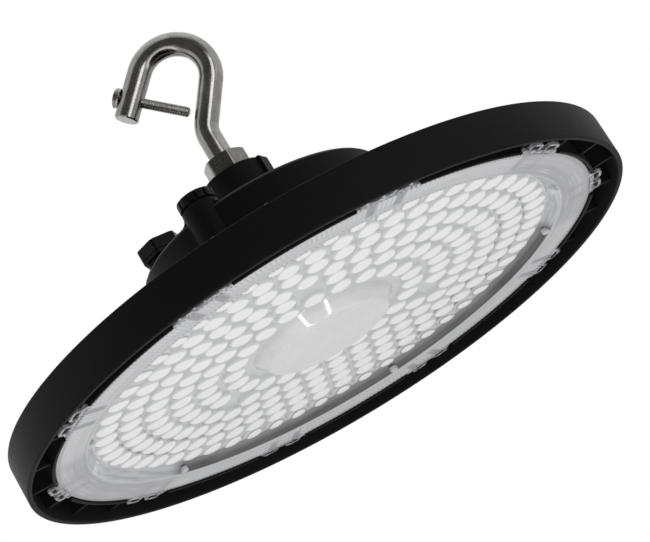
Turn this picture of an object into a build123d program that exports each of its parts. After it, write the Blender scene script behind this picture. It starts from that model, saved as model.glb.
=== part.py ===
"""High bay light: a round, flat LED luminaire that hangs from a steel hook.

A die-cast heat sink carries everything. It is a dish with thirty fins that run out to a
plain outer ring. The dish holds the LED board and is closed from below by a moulded lens
plate with a dome over every LED. A drum on top holds the driver, and its hub takes the
threaded hook. Millimetres. The origin is the centre of the ring's lower rim, +Z points up
to the hook, and the hook lies in the XZ plane with its open side towards -X.
"""
import os
from math import cos, radians, sin, sqrt, tan

from build123d import *

# Lens plate, moulded in clear plastic
LENS_RADIUS = 135.0
LENS_WALL = 2.0
LENS_RECESS = 3.3  # height of the flange's face above the rim that the lamp rests on
FLANGE_WIDTH = 15.0
LENS_SLOPE_WIDTH = 5.0  # the slope between the flange and the raised plate with the domes
LENS_PLATE_RISE = 5.7
PLATEAU_RADIUS = 30.0  # plain disc in the middle, as low as the flange
PLATEAU_FLARE = 5.5
PLATEAU_DROP = 6.4

# Domes, in rings around the plateau
DOME_RING_RADII = (45.5, 59.2, 71.8, 84.4, 96.8, 108.6)
DOME_RING_COUNTS = (22, 30, 36, 43, 49, 54)
DOME_RING_PHASES = (11.2, 8.9, 3.0, 1.0, 5.0, 0.7)
DOME_RADIUS = 5.4
DOME_CROWN_RADIUS = 3.2
DOME_DEPTH = 2.8
DOME_SIDES = 8

# Clips around the lens: pairs of open loops on a short land, snapped over catches
CLIP_COUNT = 10
CLIP_PHASE = 2.6
CLIP_LAND_ANGLE = 11.0
CLIP_REACH = 5.6
CLIP_LOOP_OFFSET = 6.4
CLIP_HOLE_WIDTH = 6.0
CLIP_BAR = 1.4
CLIP_THICKNESS = 1.6
CATCH_WIDTH = 4.4
CATCH_DEPTH = 1.8
CATCH_GAP = 0.5

# Pillars on the lens's slope, below the outer board screws
PILLAR_COUNT = 6
PILLAR_PHASE = 20.8
PILLAR_RADIUS = 2.2
PILLAR_INSET = 1.7  # from the flange's inner edge to the pillar's axis
PILLAR_RECESS = 0.5  # the pillar ends this far above the flange's face

# Heat sink
DISH_CLEARANCE = 0.4
LIP_WALL = 1.6
LIP_DROP = 0.8  # the lip reaches this far below the lens flange
LIP_NOTCH_ANGLE = 12.6
SEAT_WALL = 3.0
SKIRT_WALL = 4.0
PLATE_THICKNESS = 4.0
SLOT_WIDTH = 10.5  # open slot between the dish's lip and the ring
RING_WALL = 2.5
RING_HEIGHT = 18.7
RING_EDGE_ROUND = 0.8
LEAD_HOLE_RADIUS = 6.0

# Fins, from the driver drum out to the ring
FIN_COUNT = 30
FIN_PHASE = 8.6
FIN_THICKNESS = 2.0
FIN_UNDERSIDE = 4.5
FIN_RISE = 11.3
FIN_SHOULDER_INSET = 28.8  # from the ring's inner face to the fin's top corner
FIN_RING_STEP = 1.0  # the fin's outer end stops this far below the ring's top
FIN_FLANGE_GAP = 1.5

# LED board
LED_GAP = 0.8
LED_HEIGHT = 0.8
LED_SIDE = 3.0
BOARD_THICKNESS = 1.6
BOARD_EDGE_GAP = 2.5
BOARD_HOLE_RADIUS = 5.0
THERMAL_PAD_THICKNESS = 0.5
BOARD_SCREW_RADIUS = 1.5
BOARD_SCREW_HEAD_RADIUS = 2.9
BOARD_SCREW_HEAD_HEIGHT = 1.2
BOARD_SCREW_REACH = 3.2
BOARD_SCREW_EDGE = 5.5
INNER_SCREW_COUNT = 3
INNER_SCREW_PHASE = 32.9
INNER_SCREW_RING = 59.2
BLANK_RADIUS = 8.6  # no dome stands this close to an inner board screw
GASKET_INSET = 1.5
GASKET_HEIGHT = 2.0

# Driver housing
DRUM_RADIUS = 59.3
DRUM_WALL = 3.0
DRUM_HEIGHT = 45.2
DRUM_TOP_WALL = 3.5
DRUM_EDGE_CHAMFER = 1.2
DRUM_FLANGE_WIDTH = 8.7
DRUM_FLANGE_THICKNESS = 4.0
HUB_RADIUS = 16.0
HUB_HEIGHT = 26.85
HUB_EDGE_CHAMFER = 0.6
HUB_FOOT = 3.0
HOUSING_SCREW_COUNT = 6
HOUSING_SCREW_PHASE = 30.0
HOUSING_SCREW_RADIUS = 2.0
HOUSING_SCREW_HEAD_RADIUS = 3.4
HOUSING_SCREW_HEAD_HEIGHT = 3.6
HOUSING_SOCKET_FLATS = 3.0
HOUSING_SOCKET_DEPTH = 1.8
HOUSING_SCREW_REACH = 3.2
SEAL_GROOVE_DEPTH = 1.4
SEAL_GROOVE_WIDTH = 2.6

# Hook, bent from round bar, with a threaded shank
HOOK_BAR_RADIUS = 5.75
THREAD_RADIUS = 6.0
THREAD_GAP = 0.05
SHANK_DEPTH = 24.0
SHANK_END_GAP = 1.0
NECK_RISE = 16.55  # from the nut to where the neck leans over
NECK_LEAN = 34.8  # degrees from upright
BEND_RADIUS = 14.0
BOW_RADIUS = 17.1
TIP_SLOPE = 45.8  # degrees below level
TIP_LENGTH = 24.0
TIP_CHAMFER = 0.6
NUT_FLATS = 19.0
NUT_HEIGHT = 10.0
NUT_TURN = -9.4
NUT_CHAMFER = 1.1
NUT_CHAMFER_RISE = 0.55

# Screw that closes the hook's mouth
SAFETY_RADIUS = 2.5
SAFETY_PLACE = 14.4  # along the tip's straight run
SAFETY_REACH = 28.3
SAFETY_HEAD_RADIUS = 4.75
SAFETY_HEAD_HEIGHT = 3.2
SAFETY_HEAD_CHAMFER = 0.8
SAFETY_SEAT_DEPTH = 0.5
SAFETY_SEAT_MARGIN = 2.0
SLOT_CUT_WIDTH = 1.2
SLOT_CUT_DEPTH = 1.3

# Grub screw that locks the hook in the hub
PAD_ANGLE = -20.0
PAD_WIDTH = 8.0
PAD_PROUD = 1.3
PAD_ROOT = 1.0
GRUB_RADIUS = 2.5
GRUB_DROP = 8.0
GRUB_SOCKET_RADIUS = 1.3
GRUB_SOCKET_DEPTH = 2.5

# Control port with its screw cap, on the drum's near edge
PORT_ANGLE = 249.4
PORT_CENTRE = 54.6
PORT_RADIUS = 8.7
PORT_RISE = 3.85
PORT_FOOT = 3.2
PORT_BORE_RADIUS = 6.4
CAP_HEIGHT = 4.9
CAP_FLUTES = 12
CAP_FLUTE_RADIUS = 1.0
CAP_STEM_END_GAP = 0.6
CAP_STEM_WALL = 1.5
CAP_STEM_GAP = 0.1
CAP_SEAL_HEIGHT = 0.8

# Cable gland on its cast boss
GLAND_ANGLE = 180.0
GLAND_TURN = 23.0
GLAND_BOSS_RISE = 10.9
GLAND_BOSS_RADIUS = 8.7
GLAND_SHOULDER_RISE = 3.6
GLAND_SHOULDER_INSET = 0.3
GLAND_SHOULDER_FILLET = 2.0
GLAND_FLATS = 19.0
GLAND_STEM_RADIUS = 7.0
GLAND_STEM_GAP = 0.1
GLAND_COLLAR = 1.5
GLAND_COLLAR_GAP = 0.4
GLAND_NECK_RADIUS = 7.0
GLAND_NECK_HEIGHT = 3.6
GLAND_BORE_RADIUS = 4.6
GLAND_SEAL_RADIUS = 5.9
GLAND_SEAL_HEIGHT = 10.0
GLAND_CABLE_RADIUS = 3.5
GLAND_NUT_HEIGHT = 5.4
GLAND_NUT_TOP_WALL = 2.0
GLAND_NUT_CHAMFER = 0.5
GLAND_NUT_HOLE_RADIUS = 5.0
GLAND_SPACE = 0.1
LOCKNUT_FLATS = 18.0
LOCKNUT_HEIGHT = 3.6
LOCKNUT_WALL_GAP = 0.9

# Breather plug on the drum's far side
BREATHER_ANGLE = 62.0
BREATHER_CENTRE = 43.0
BREATHER_HEAD_RADIUS = 7.0
BREATHER_HEAD_HEIGHT = 5.0
BREATHER_HEAD_CHAMFER = 0.7
BREATHER_STEM_RADIUS = 4.5
BREATHER_STEM_GAP = 0.1
BREATHER_STEM_LENGTH = 8.0
BREATHER_SLOTS = 6
BREATHER_SLOT_WIDTH = 1.4
BREATHER_SLOT_HEIGHT = 2.0

# Driver inside the drum
DRIVER_LENGTH = 70.0
DRIVER_WIDTH = 62.0
DRIVER_THICKNESS = 1.6
DRIVER_CORNER = 2.8
DRIVER_HOLE_INSET = 5.0
STANDOFF_HEIGHT = 5.0
STANDOFF_RADIUS = 3.0
DRIVER_SCREW_RADIUS = 1.5
DRIVER_SCREW_GAP = 0.05
DRIVER_SCREW_HEAD_RADIUS = 2.8
DRIVER_SCREW_HEAD_HEIGHT = 2.0
DRIVER_SCREW_REACH = 4.0
TRANSFORMER_CORE = (30.0, 12.0, 24.0)
TRANSFORMER_COIL_RADIUS = 12.0
TRANSFORMER_COIL_HEIGHT = 17.0
TRANSFORMER_PLACE = (13.0, 0.0)
CAPACITOR_RADIUS = 8.0
CAPACITOR_HEIGHT = 25.0
CAPACITOR_CHAMFER = 0.5
CAPACITOR_PLACES = ((-6.0, 19.0), (12.0, 22.0))
CHOKE_RADIUS = 8.5
CHOKE_HOLE_RADIUS = 3.8
CHOKE_HEIGHT = 9.0
CHOKE_PLACE = (-13.0, -2.0)
TRANSISTOR_SIZE = (10.0, 4.5, 15.0)
TRANSISTOR_PLACES = ((-4.0, -25.0), (10.0, -25.0))
TERMINAL_SIZE = (9.0, 21.0, 10.0)
TERMINAL_PLACE = (-28.0, 4.0)
TERMINAL_WAYS = 3
TERMINAL_WAY_RADIUS = 1.8
TERMINAL_WAY_DEPTH = 5.0

# Leads from the driver to the LED board, through a grommet
LEAD_RADIUS = 0.8
LEAD_SPREAD = 1.8
LEAD_BEND = 2.6
LEAD_RUN = 6.0
LEAD_BOARD_GAP = 0.1
GROMMET_LIP = 1.6
GROMMET_LIP_HEIGHT = 1.2
GROMMET_BORE_RADIUS = 3.4
GROMMET_GAP = 0.1

# Heights, from the lens upwards
LENS_PLATE_Z = LENS_RECESS + LENS_PLATE_RISE
FLANGE_TOP_Z = LENS_RECESS + LENS_WALL
SEAT_Z = FLANGE_TOP_Z + GASKET_HEIGHT
LIP_Z = LENS_RECESS - LIP_DROP
BOARD_Z = LENS_PLATE_Z + LENS_WALL + LED_GAP + LED_HEIGHT
THERMAL_PAD_Z = BOARD_Z + BOARD_THICKNESS
PLATE_Z = THERMAL_PAD_Z + THERMAL_PAD_THICKNESS
PLATE_TOP_Z = PLATE_Z + PLATE_THICKNESS
FIN_TOP_Z = PLATE_TOP_Z + FIN_RISE
FLANGE_SEAT_Z = PLATE_TOP_Z + DRUM_FLANGE_THICKNESS
DRUM_TOP_Z = PLATE_TOP_Z + DRUM_HEIGHT
CAVITY_TOP_Z = DRUM_TOP_Z - DRUM_TOP_WALL
HUB_TOP_Z = DRUM_TOP_Z + HUB_HEIGHT
NUT_TOP_Z = HUB_TOP_Z + NUT_HEIGHT
PORT_TOP_Z = DRUM_TOP_Z + PORT_RISE
GLAND_SEAT_Z = DRUM_TOP_Z + GLAND_BOSS_RISE
COLLAR_TOP_Z = GLAND_SEAT_Z + GLAND_COLLAR
DRIVER_Z = PLATE_TOP_Z + STANDOFF_HEIGHT
DRIVER_TOP_Z = DRIVER_Z + DRIVER_THICKNESS

# Radii, from the lens outwards
FLANGE_INNER_RADIUS = LENS_RADIUS - FLANGE_WIDTH
LENS_PLATE_RADIUS = FLANGE_INNER_RADIUS - LENS_SLOPE_WIDTH
LIP_INNER_RADIUS = LENS_RADIUS + DISH_CLEARANCE
LIP_RADIUS = LIP_INNER_RADIUS + LIP_WALL
SKIRT_INNER_RADIUS = FLANGE_INNER_RADIUS + GASKET_INSET
RING_INNER_RADIUS = LIP_RADIUS + SLOT_WIDTH
RING_RADIUS = RING_INNER_RADIUS + RING_WALL
BOARD_RADIUS = SKIRT_INNER_RADIUS - BOARD_EDGE_GAP
OUTER_SCREW_RING = BOARD_RADIUS - BOARD_SCREW_EDGE
DRUM_FLANGE_RADIUS = DRUM_RADIUS + DRUM_FLANGE_WIDTH
CAVITY_RADIUS = DRUM_RADIUS - DRUM_WALL
HOUSING_SCREW_RING = DRUM_RADIUS + DRUM_FLANGE_WIDTH / 2
LOCKNUT_RADIUS = LOCKNUT_FLATS / sqrt(3)
GLAND_CENTRE = CAVITY_RADIUS - LOCKNUT_WALL_GAP - LOCKNUT_RADIUS
GLAND_SHOULDER_RADIUS = DRUM_RADIUS - GLAND_CENTRE - GLAND_SHOULDER_INSET

FUSE_OVERLAP = 0.5  # a cast rib or boss is drawn this far into the body that it grows from


def at(radius, angle, height=0.0):
    """Place on a circle about the lamp's axis, turned to face outwards."""
    return Rot(0, 0, angle) * Pos(radius, 0, height)


def turned(*outline):
    """Solid turned about the lamp's axis from an outline of (radius, height) points."""
    return revolve(Plane.XZ * make_face(Polyline(*outline, close=True)), Axis.Z)


def post(radius, low, high):
    """Upright round bar between two heights."""
    return Pos(0, 0, low) * Cylinder(radius, high - low, align=(Align.CENTER, Align.CENTER, Align.MIN))


def tube(inner, outer, low, high):
    """Upright ring between two heights."""
    return post(outer, low, high) - post(inner, low, high)


def block(size, low):
    """Upright block on a level, centred on its own axis."""
    return Pos(0, 0, low) * Box(*size, align=(Align.CENTER, Align.CENTER, Align.MIN))


def hexagon(flats, low, high, turn=0.0):
    """Upright hexagonal bar with a corner on its own +X axis before the turn."""
    section = Rot(0, 0, turn) * RegularPolygon(flats / sqrt(3), 6)
    return Pos(0, 0, low) * extrude(section, high - low)


def group(solids):
    """Several separate solids that share one node."""
    return Compound(children=list(solids))


def ring_places(count, phase, radius):
    """Evenly spaced places on a circle about the lamp's axis."""
    return [at(radius, phase + 360 / count * index) for index in range(count)]


def board_screw_places():
    """Places of the screws that press the LED board onto the dish."""
    inner = ring_places(INNER_SCREW_COUNT, INNER_SCREW_PHASE, INNER_SCREW_RING)
    return inner + ring_places(PILLAR_COUNT, PILLAR_PHASE, OUTER_SCREW_RING)


def dome_places():
    """Places of the domes, and of the LEDs above them, clear of the inner board screws."""
    screws = ring_places(INNER_SCREW_COUNT, INNER_SCREW_PHASE, INNER_SCREW_RING)
    places = []
    for radius, count, phase in zip(DOME_RING_RADII, DOME_RING_COUNTS, DOME_RING_PHASES):
        for place in ring_places(count, phase, radius):
            nearest = min((place.position - screw.position).length for screw in screws)
            if nearest > BLANK_RADIUS:
                places.append(place)
    return places


def clip_loop_centres():
    """Sideways offsets of the two loops on one clip."""
    return (-CLIP_LOOP_OFFSET, CLIP_LOOP_OFFSET)


def heat_sink():
    """Die-cast dish, fins and outer ring in one piece."""
    dish = turned(
        (0, PLATE_Z),
        (SKIRT_INNER_RADIUS, PLATE_Z),
        (SKIRT_INNER_RADIUS, SEAT_Z),
        (LIP_INNER_RADIUS, SEAT_Z),
        (LIP_INNER_RADIUS, LIP_Z),
        (LIP_RADIUS, LIP_Z),
        (LIP_RADIUS, SEAT_Z + SEAT_WALL),
        (SKIRT_INNER_RADIUS + SKIRT_WALL, SEAT_Z + SEAT_WALL),
        (SKIRT_INNER_RADIUS + SKIRT_WALL, PLATE_TOP_Z),
        (0, PLATE_TOP_Z),
    )
    ring_section = Rectangle(RING_WALL, RING_HEIGHT)
    ring_section = Pos(RING_RADIUS - RING_WALL / 2, RING_HEIGHT / 2) * ring_section
    lower_corners = ring_section.vertices().sort_by(Axis.Y)[:2]
    ring = revolve(Plane.XZ * fillet(lower_corners, RING_EDGE_ROUND), Axis.Z)
    casting = dish + ring + [place * fin() for place in ring_places(FIN_COUNT, FIN_PHASE, 0)]
    casting += clip_catches()
    casting -= lip_notches()
    casting -= post(LEAD_HOLE_RADIUS, PLATE_Z, PLATE_TOP_Z)
    casting -= [
        place * post(BOARD_SCREW_RADIUS + THREAD_GAP, PLATE_Z, PLATE_Z + BOARD_SCREW_REACH)
        for place in board_screw_places()
    ]
    casting -= [
        place * post(HOUSING_SCREW_RADIUS + THREAD_GAP, PLATE_TOP_Z - HOUSING_SCREW_REACH, PLATE_TOP_Z)
        for place in ring_places(HOUSING_SCREW_COUNT, HOUSING_SCREW_PHASE, HOUSING_SCREW_RING)
    ]
    return casting


def fin():
    """One fin: a tall plate on the dish, and a low rib across the open slot to the ring."""
    inner = DRUM_FLANGE_RADIUS + FIN_FLANGE_GAP
    outer = RING_INNER_RADIUS + FUSE_OVERLAP
    plate_root = PLATE_TOP_Z - FUSE_OVERLAP
    seat_root = SEAT_Z + SEAT_WALL - FUSE_OVERLAP
    skirt_root = SKIRT_INNER_RADIUS + SKIRT_WALL - FUSE_OVERLAP
    outline = Polyline(
        (inner, plate_root),
        (skirt_root, plate_root),
        (skirt_root, seat_root),
        (LIP_RADIUS - FUSE_OVERLAP, seat_root),
        (LIP_RADIUS - FUSE_OVERLAP, FIN_UNDERSIDE),
        (outer, FIN_UNDERSIDE),
        (outer, RING_HEIGHT - FIN_RING_STEP),
        (RING_INNER_RADIUS - FIN_SHOULDER_INSET, FIN_TOP_Z),
        (inner, FIN_TOP_Z),
        close=True,
    )
    return extrude(Plane.XZ * make_face(outline), FIN_THICKNESS / 2, both=True)


def clip_catches():
    """Small hooks on the lip's outer face that stand in the loops of the lens clips."""
    inner = LIP_RADIUS - FUSE_OVERLAP
    outer = LIP_RADIUS + CATCH_DEPTH
    top = SEAT_Z + SEAT_WALL
    outline = Polyline(
        (inner, top),
        (outer, top - CATCH_DEPTH),
        (outer, LENS_RECESS),
        (LIP_RADIUS + CATCH_GAP, LENS_RECESS),
        (LIP_RADIUS + CATCH_GAP, FLANGE_TOP_Z),
        (inner, FLANGE_TOP_Z),
        close=True,
    )
    catch = extrude(Plane.XZ * make_face(outline), CATCH_WIDTH / 2, both=True)
    return [
        place * Pos(0, offset, 0) * catch
        for place in ring_places(CLIP_COUNT, CLIP_PHASE, 0)
        for offset in clip_loop_centres()
    ]


def lip_notches():
    """Cuts through the dish's lip where the lens clips pass outwards."""
    half_angle = radians(LIP_NOTCH_ANGLE / 2)
    inner = LIP_INNER_RADIUS * cos(half_angle) - DISH_CLEARANCE
    outer = LIP_RADIUS + DISH_CLEARANCE
    cut = block((outer - inner, 2 * LIP_RADIUS * sin(half_angle), FLANGE_TOP_Z - LIP_Z), LIP_Z)
    return [place * cut for place in ring_places(CLIP_COUNT, CLIP_PHASE, (inner + outer) / 2)]


def lens():
    """Lens plate: domed plate, plain plateau, flange and clips in one moulding."""
    plateau_z = LENS_PLATE_Z - PLATEAU_DROP
    plate_top = LENS_PLATE_Z + LENS_WALL
    plate = turned(
        (0, plateau_z),
        (PLATEAU_RADIUS, plateau_z),
        (PLATEAU_RADIUS + PLATEAU_FLARE, LENS_PLATE_Z),
        (LENS_PLATE_RADIUS, LENS_PLATE_Z),
        (FLANGE_INNER_RADIUS, LENS_RECESS),
        (LENS_RADIUS, LENS_RECESS),
        (LENS_RADIUS, FLANGE_TOP_Z),
        (FLANGE_INNER_RADIUS, FLANGE_TOP_Z),
        (LENS_PLATE_RADIUS, plate_top),
        (PLATEAU_RADIUS + PLATEAU_FLARE - LENS_WALL, plate_top),
        (PLATEAU_RADIUS - LENS_WALL, plateau_z + LENS_WALL),
        (0, plateau_z + LENS_WALL),
    )
    dome_base = Pos(0, 0, LENS_PLATE_Z) * RegularPolygon(DOME_RADIUS, DOME_SIDES)
    crown_z = LENS_PLATE_Z - DOME_DEPTH
    dome_crown = Pos(0, 0, crown_z) * RegularPolygon(DOME_CROWN_RADIUS, DOME_SIDES)
    dome = loft([dome_base, dome_crown], ruled=True)
    pillar_ring = FLANGE_INNER_RADIUS - PILLAR_INSET
    slope_middle = (LENS_RECESS + LENS_PLATE_Z) / 2
    pillar = post(PILLAR_RADIUS, LENS_RECESS + PILLAR_RECESS, slope_middle)
    moulding = plate + [place * dome for place in dome_places()]
    moulding += [
        place * pillar for place in ring_places(PILLAR_COUNT, PILLAR_PHASE, pillar_ring)
    ]
    moulding += [place * lens_clip() for place in ring_places(CLIP_COUNT, CLIP_PHASE, 0)]
    return moulding


def lens_clip():
    """One clip: a land that leaves the flange, with two loops side by side at its end."""
    land_width = 2 * LENS_RADIUS * sin(radians(CLIP_LAND_ANGLE / 2))
    land_start = LENS_RADIUS * cos(radians(CLIP_LAND_ANGLE / 2)) - FUSE_OVERLAP
    land_end = LIP_RADIUS - DISH_CLEARANCE
    outer = LENS_RADIUS + CLIP_REACH
    hole_depth = outer - CLIP_BAR - land_end
    loop_width = CLIP_HOLE_WIDTH + 2 * CLIP_BAR
    land = block((land_end - land_start, land_width, CLIP_THICKNESS), 0)
    land = Pos((land_start + land_end) / 2, 0, 0) * land
    loop = block((outer - land_end, loop_width, CLIP_THICKNESS), 0)
    hole = block((hole_depth, CLIP_HOLE_WIDTH, CLIP_THICKNESS), 0)
    open_loop = Pos((land_end + outer) / 2, 0, 0) * loop
    open_loop -= Pos(land_end + hole_depth / 2, 0, 0) * hole
    clip = land + [Pos(0, offset, 0) * open_loop for offset in clip_loop_centres()]
    return Pos(0, 0, LENS_RECESS) * clip


def lens_gasket():
    """Flat silicone ring between the lens flange and the dish's seat."""
    return tube(SKIRT_INNER_RADIUS, LENS_RADIUS - GASKET_INSET, FLANGE_TOP_Z, SEAT_Z)


def led_board():
    """Round aluminium-backed circuit board that carries the LEDs."""
    board = tube(BOARD_HOLE_RADIUS, BOARD_RADIUS, BOARD_Z, THERMAL_PAD_Z)
    hole = post(BOARD_SCREW_RADIUS + THREAD_GAP, BOARD_Z, THERMAL_PAD_Z)
    return board - [place * hole for place in board_screw_places()]


def leds():
    """LED packages on the board's lower face, one above each dome."""
    package = block((LED_SIDE, LED_SIDE, LED_HEIGHT), BOARD_Z - LED_HEIGHT)
    return group(place * package for place in dome_places())


def thermal_pad():
    """Soft pad that carries the heat from the board into the dish."""
    pad = tube(LEAD_HOLE_RADIUS, BOARD_RADIUS, THERMAL_PAD_Z, PLATE_Z)
    hole = post(BOARD_SCREW_RADIUS + THREAD_GAP, THERMAL_PAD_Z, PLATE_Z)
    return pad - [place * hole for place in board_screw_places()]


def board_screws():
    """Low-headed screws through the board and the pad into the dish."""
    head = post(BOARD_SCREW_HEAD_RADIUS, BOARD_Z - BOARD_SCREW_HEAD_HEIGHT, BOARD_Z)
    shank = post(BOARD_SCREW_RADIUS, BOARD_Z, PLATE_Z + BOARD_SCREW_REACH - THREAD_GAP)
    screw = head + shank
    return group(place * screw for place in board_screw_places())


def lead_grommet():
    """Rubber grommet in the dish's middle hole, with a lip on the driver's side."""
    sleeve = post(LEAD_HOLE_RADIUS - GROMMET_GAP, PLATE_Z, PLATE_TOP_Z)
    lip = post(LEAD_HOLE_RADIUS + GROMMET_LIP, PLATE_TOP_Z, PLATE_TOP_Z + GROMMET_LIP_HEIGHT)
    return sleeve + lip - post(GROMMET_BORE_RADIUS, PLATE_Z, PLATE_TOP_Z + GROMMET_LIP_HEIGHT)


def led_leads():
    """Two insulated leads from the driver down to the LED board, each bent along the board."""
    run_z = BOARD_Z - LEAD_BOARD_GAP - LEAD_RADIUS
    path = FilletPolyline(
        (LEAD_SPREAD, 0, DRIVER_Z),
        (LEAD_SPREAD, 0, run_z),
        (LEAD_SPREAD + LEAD_BEND + LEAD_RUN, 0, run_z),
        radius=LEAD_BEND,
    )
    section = Plane(origin=path @ 0, z_dir=path % 0) * Circle(LEAD_RADIUS)
    lead = sweep(section, path=path)
    return group([lead, Rot(0, 0, 180) * lead])


def driver_housing():
    """Cast drum with its flange, hub, control port and the pad of the grub screw."""
    bore_bottom = HUB_TOP_Z - SHANK_DEPTH - SHANK_END_GAP
    drum = turned(
        (CAVITY_RADIUS, PLATE_TOP_Z),
        (DRUM_FLANGE_RADIUS, PLATE_TOP_Z),
        (DRUM_FLANGE_RADIUS, FLANGE_SEAT_Z),
        (DRUM_RADIUS, FLANGE_SEAT_Z),
        (DRUM_RADIUS, DRUM_TOP_Z - DRUM_EDGE_CHAMFER),
        (DRUM_RADIUS - DRUM_EDGE_CHAMFER, DRUM_TOP_Z),
        (HUB_RADIUS + HUB_FOOT, DRUM_TOP_Z),
        (HUB_RADIUS, DRUM_TOP_Z + HUB_FOOT),
        (HUB_RADIUS, HUB_TOP_Z - HUB_EDGE_CHAMFER),
        (HUB_RADIUS - HUB_EDGE_CHAMFER, HUB_TOP_Z),
        (0, HUB_TOP_Z),
        (0, CAVITY_TOP_Z),
        (CAVITY_RADIUS, CAVITY_TOP_Z),
    )
    port_place = at(PORT_CENTRE, PORT_ANGLE)
    column = port_place * post(PORT_RADIUS, FLANGE_SEAT_Z - FUSE_OVERLAP, PORT_TOP_Z)
    column_foot = Cone(
        PORT_RADIUS + PORT_FOOT,
        PORT_RADIUS,
        PORT_FOOT,
        align=(Align.CENTER, Align.CENTER, Align.MIN),
    )
    column_foot = port_place * Pos(0, 0, DRUM_TOP_Z) * column_foot
    column += column_foot & post(DRUM_RADIUS - DRUM_EDGE_CHAMFER, DRUM_TOP_Z, PORT_TOP_Z)
    pad_depth = PAD_ROOT + PAD_PROUD
    pad = block((pad_depth, PAD_WIDTH, HUB_HEIGHT + FUSE_OVERLAP), DRUM_TOP_Z - FUSE_OVERLAP)
    pad = at(HUB_RADIUS + PAD_PROUD - pad_depth / 2, PAD_ANGLE) * pad
    housing = drum + column + pad + gland_place() * gland_boss()
    housing -= post(THREAD_RADIUS + THREAD_GAP, bore_bottom, HUB_TOP_Z)
    housing -= post(CAVITY_RADIUS, PLATE_TOP_Z, CAVITY_TOP_Z)
    housing -= port_place * post(PORT_BORE_RADIUS, CAVITY_TOP_Z, PORT_TOP_Z)
    gland_hole = post(GLAND_STEM_RADIUS + GLAND_STEM_GAP, CAVITY_TOP_Z, GLAND_SEAT_Z)
    housing -= gland_place() * gland_hole
    breather_hole = post(BREATHER_STEM_RADIUS + BREATHER_STEM_GAP, CAVITY_TOP_Z, DRUM_TOP_Z)
    housing -= at(BREATHER_CENTRE, BREATHER_ANGLE) * breather_hole
    housing -= grub_place() * Cylinder(GRUB_RADIUS + THREAD_GAP, grub_length())
    screw_hole = post(HOUSING_SCREW_RADIUS + THREAD_GAP, PLATE_TOP_Z, FLANGE_SEAT_Z)
    housing -= [
        place * screw_hole
        for place in ring_places(HOUSING_SCREW_COUNT, HOUSING_SCREW_PHASE, HOUSING_SCREW_RING)
    ]
    return housing - seal_groove(0)


def gland_boss():
    """Cast post under the gland that widens to a shoulder as far out as the drum's edge."""
    slope = GLAND_SHOULDER_RADIUS - GLAND_BOSS_RADIUS
    shoulder = DRUM_TOP_Z + GLAND_SHOULDER_RISE
    section = make_face(
        Polyline(
            (0, DRUM_TOP_Z - DRUM_EDGE_CHAMFER - FUSE_OVERLAP),
            (GLAND_SHOULDER_RADIUS, DRUM_TOP_Z - DRUM_EDGE_CHAMFER - FUSE_OVERLAP),
            (GLAND_SHOULDER_RADIUS, shoulder),
            (GLAND_BOSS_RADIUS, shoulder + slope),
            (GLAND_BOSS_RADIUS, GLAND_SEAT_Z),
            (0, GLAND_SEAT_Z),
            close=True,
        )
    )
    bends = [v for v in section.vertices() if shoulder - 0.01 < v.Y < shoulder + slope + 0.01]
    return revolve(Plane.XZ * fillet(bends, GLAND_SHOULDER_FILLET), Axis.Z)


def seal_groove(gap):
    """Ring that fills the seal's groove under the drum's wall, less a gap on its free sides."""
    inner = DRUM_RADIUS - SEAL_GROOVE_WIDTH / 2
    outer = DRUM_RADIUS + SEAL_GROOVE_WIDTH / 2
    return tube(inner + gap, outer - gap, PLATE_TOP_Z, PLATE_TOP_Z + SEAL_GROOVE_DEPTH - gap)


def housing_seal():
    """Silicone cord in the groove between the drum and the dish."""
    return seal_groove(THREAD_GAP)


def housing_screws():
    """Socket-head screws that hold the drum's flange on the dish."""
    head_top = FLANGE_SEAT_Z + HOUSING_SCREW_HEAD_HEIGHT
    head = post(HOUSING_SCREW_HEAD_RADIUS, FLANGE_SEAT_Z, head_top)
    socket = hexagon(HOUSING_SOCKET_FLATS, head_top - HOUSING_SOCKET_DEPTH, head_top)
    shank_end = PLATE_TOP_Z - HOUSING_SCREW_REACH + THREAD_GAP
    shank = post(HOUSING_SCREW_RADIUS, shank_end, FLANGE_SEAT_Z)
    screw = head + shank - socket
    places = ring_places(HOUSING_SCREW_COUNT, HOUSING_SCREW_PHASE, HOUSING_SCREW_RING)
    return group(place * screw for place in places)


def hook_line():
    """Centre line of the hook: neck, bend, slanted run, bow back over the axis, straight tip."""
    lean = radians(NECK_LEAN)
    bend_z = NUT_TOP_Z + NECK_RISE - BEND_RADIUS * tan(lean / 2)
    bow_z = NUT_TOP_Z + NECK_RISE + BOW_RADIUS / sin(lean)
    neck = Line((0, NUT_TOP_Z), (0, bend_z))
    bend = CenterArc((BEND_RADIUS, bend_z), BEND_RADIUS, 180, -NECK_LEAN)
    bow = CenterArc((0, bow_z), BOW_RADIUS, -NECK_LEAN, 90 + TIP_SLOPE + NECK_LEAN)
    run = Line(bend @ 1, bow @ 0)
    down = Vector(-cos(radians(TIP_SLOPE)), -sin(radians(TIP_SLOPE)))
    tip = Line(bow @ 1, bow @ 1 + down * TIP_LENGTH)
    return Plane.XZ * (neck + bend + run + bow + tip)


def safety_plane():
    """Plane across the safety screw where it crosses the middle of the tip, facing the neck."""
    line = hook_line().edges().sort_by_distance((0, 0, NUT_TOP_Z))
    tip = line[-1]
    ends = sorted((tip @ 0, tip @ 1), key=lambda point: -point.Z)
    along = (ends[1] - ends[0]).normalized()
    origin = ends[0] + along * SAFETY_PLACE
    return Plane(origin=origin, x_dir=(0, 1, 0), z_dir=(-along.Z, 0, along.X))


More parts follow.
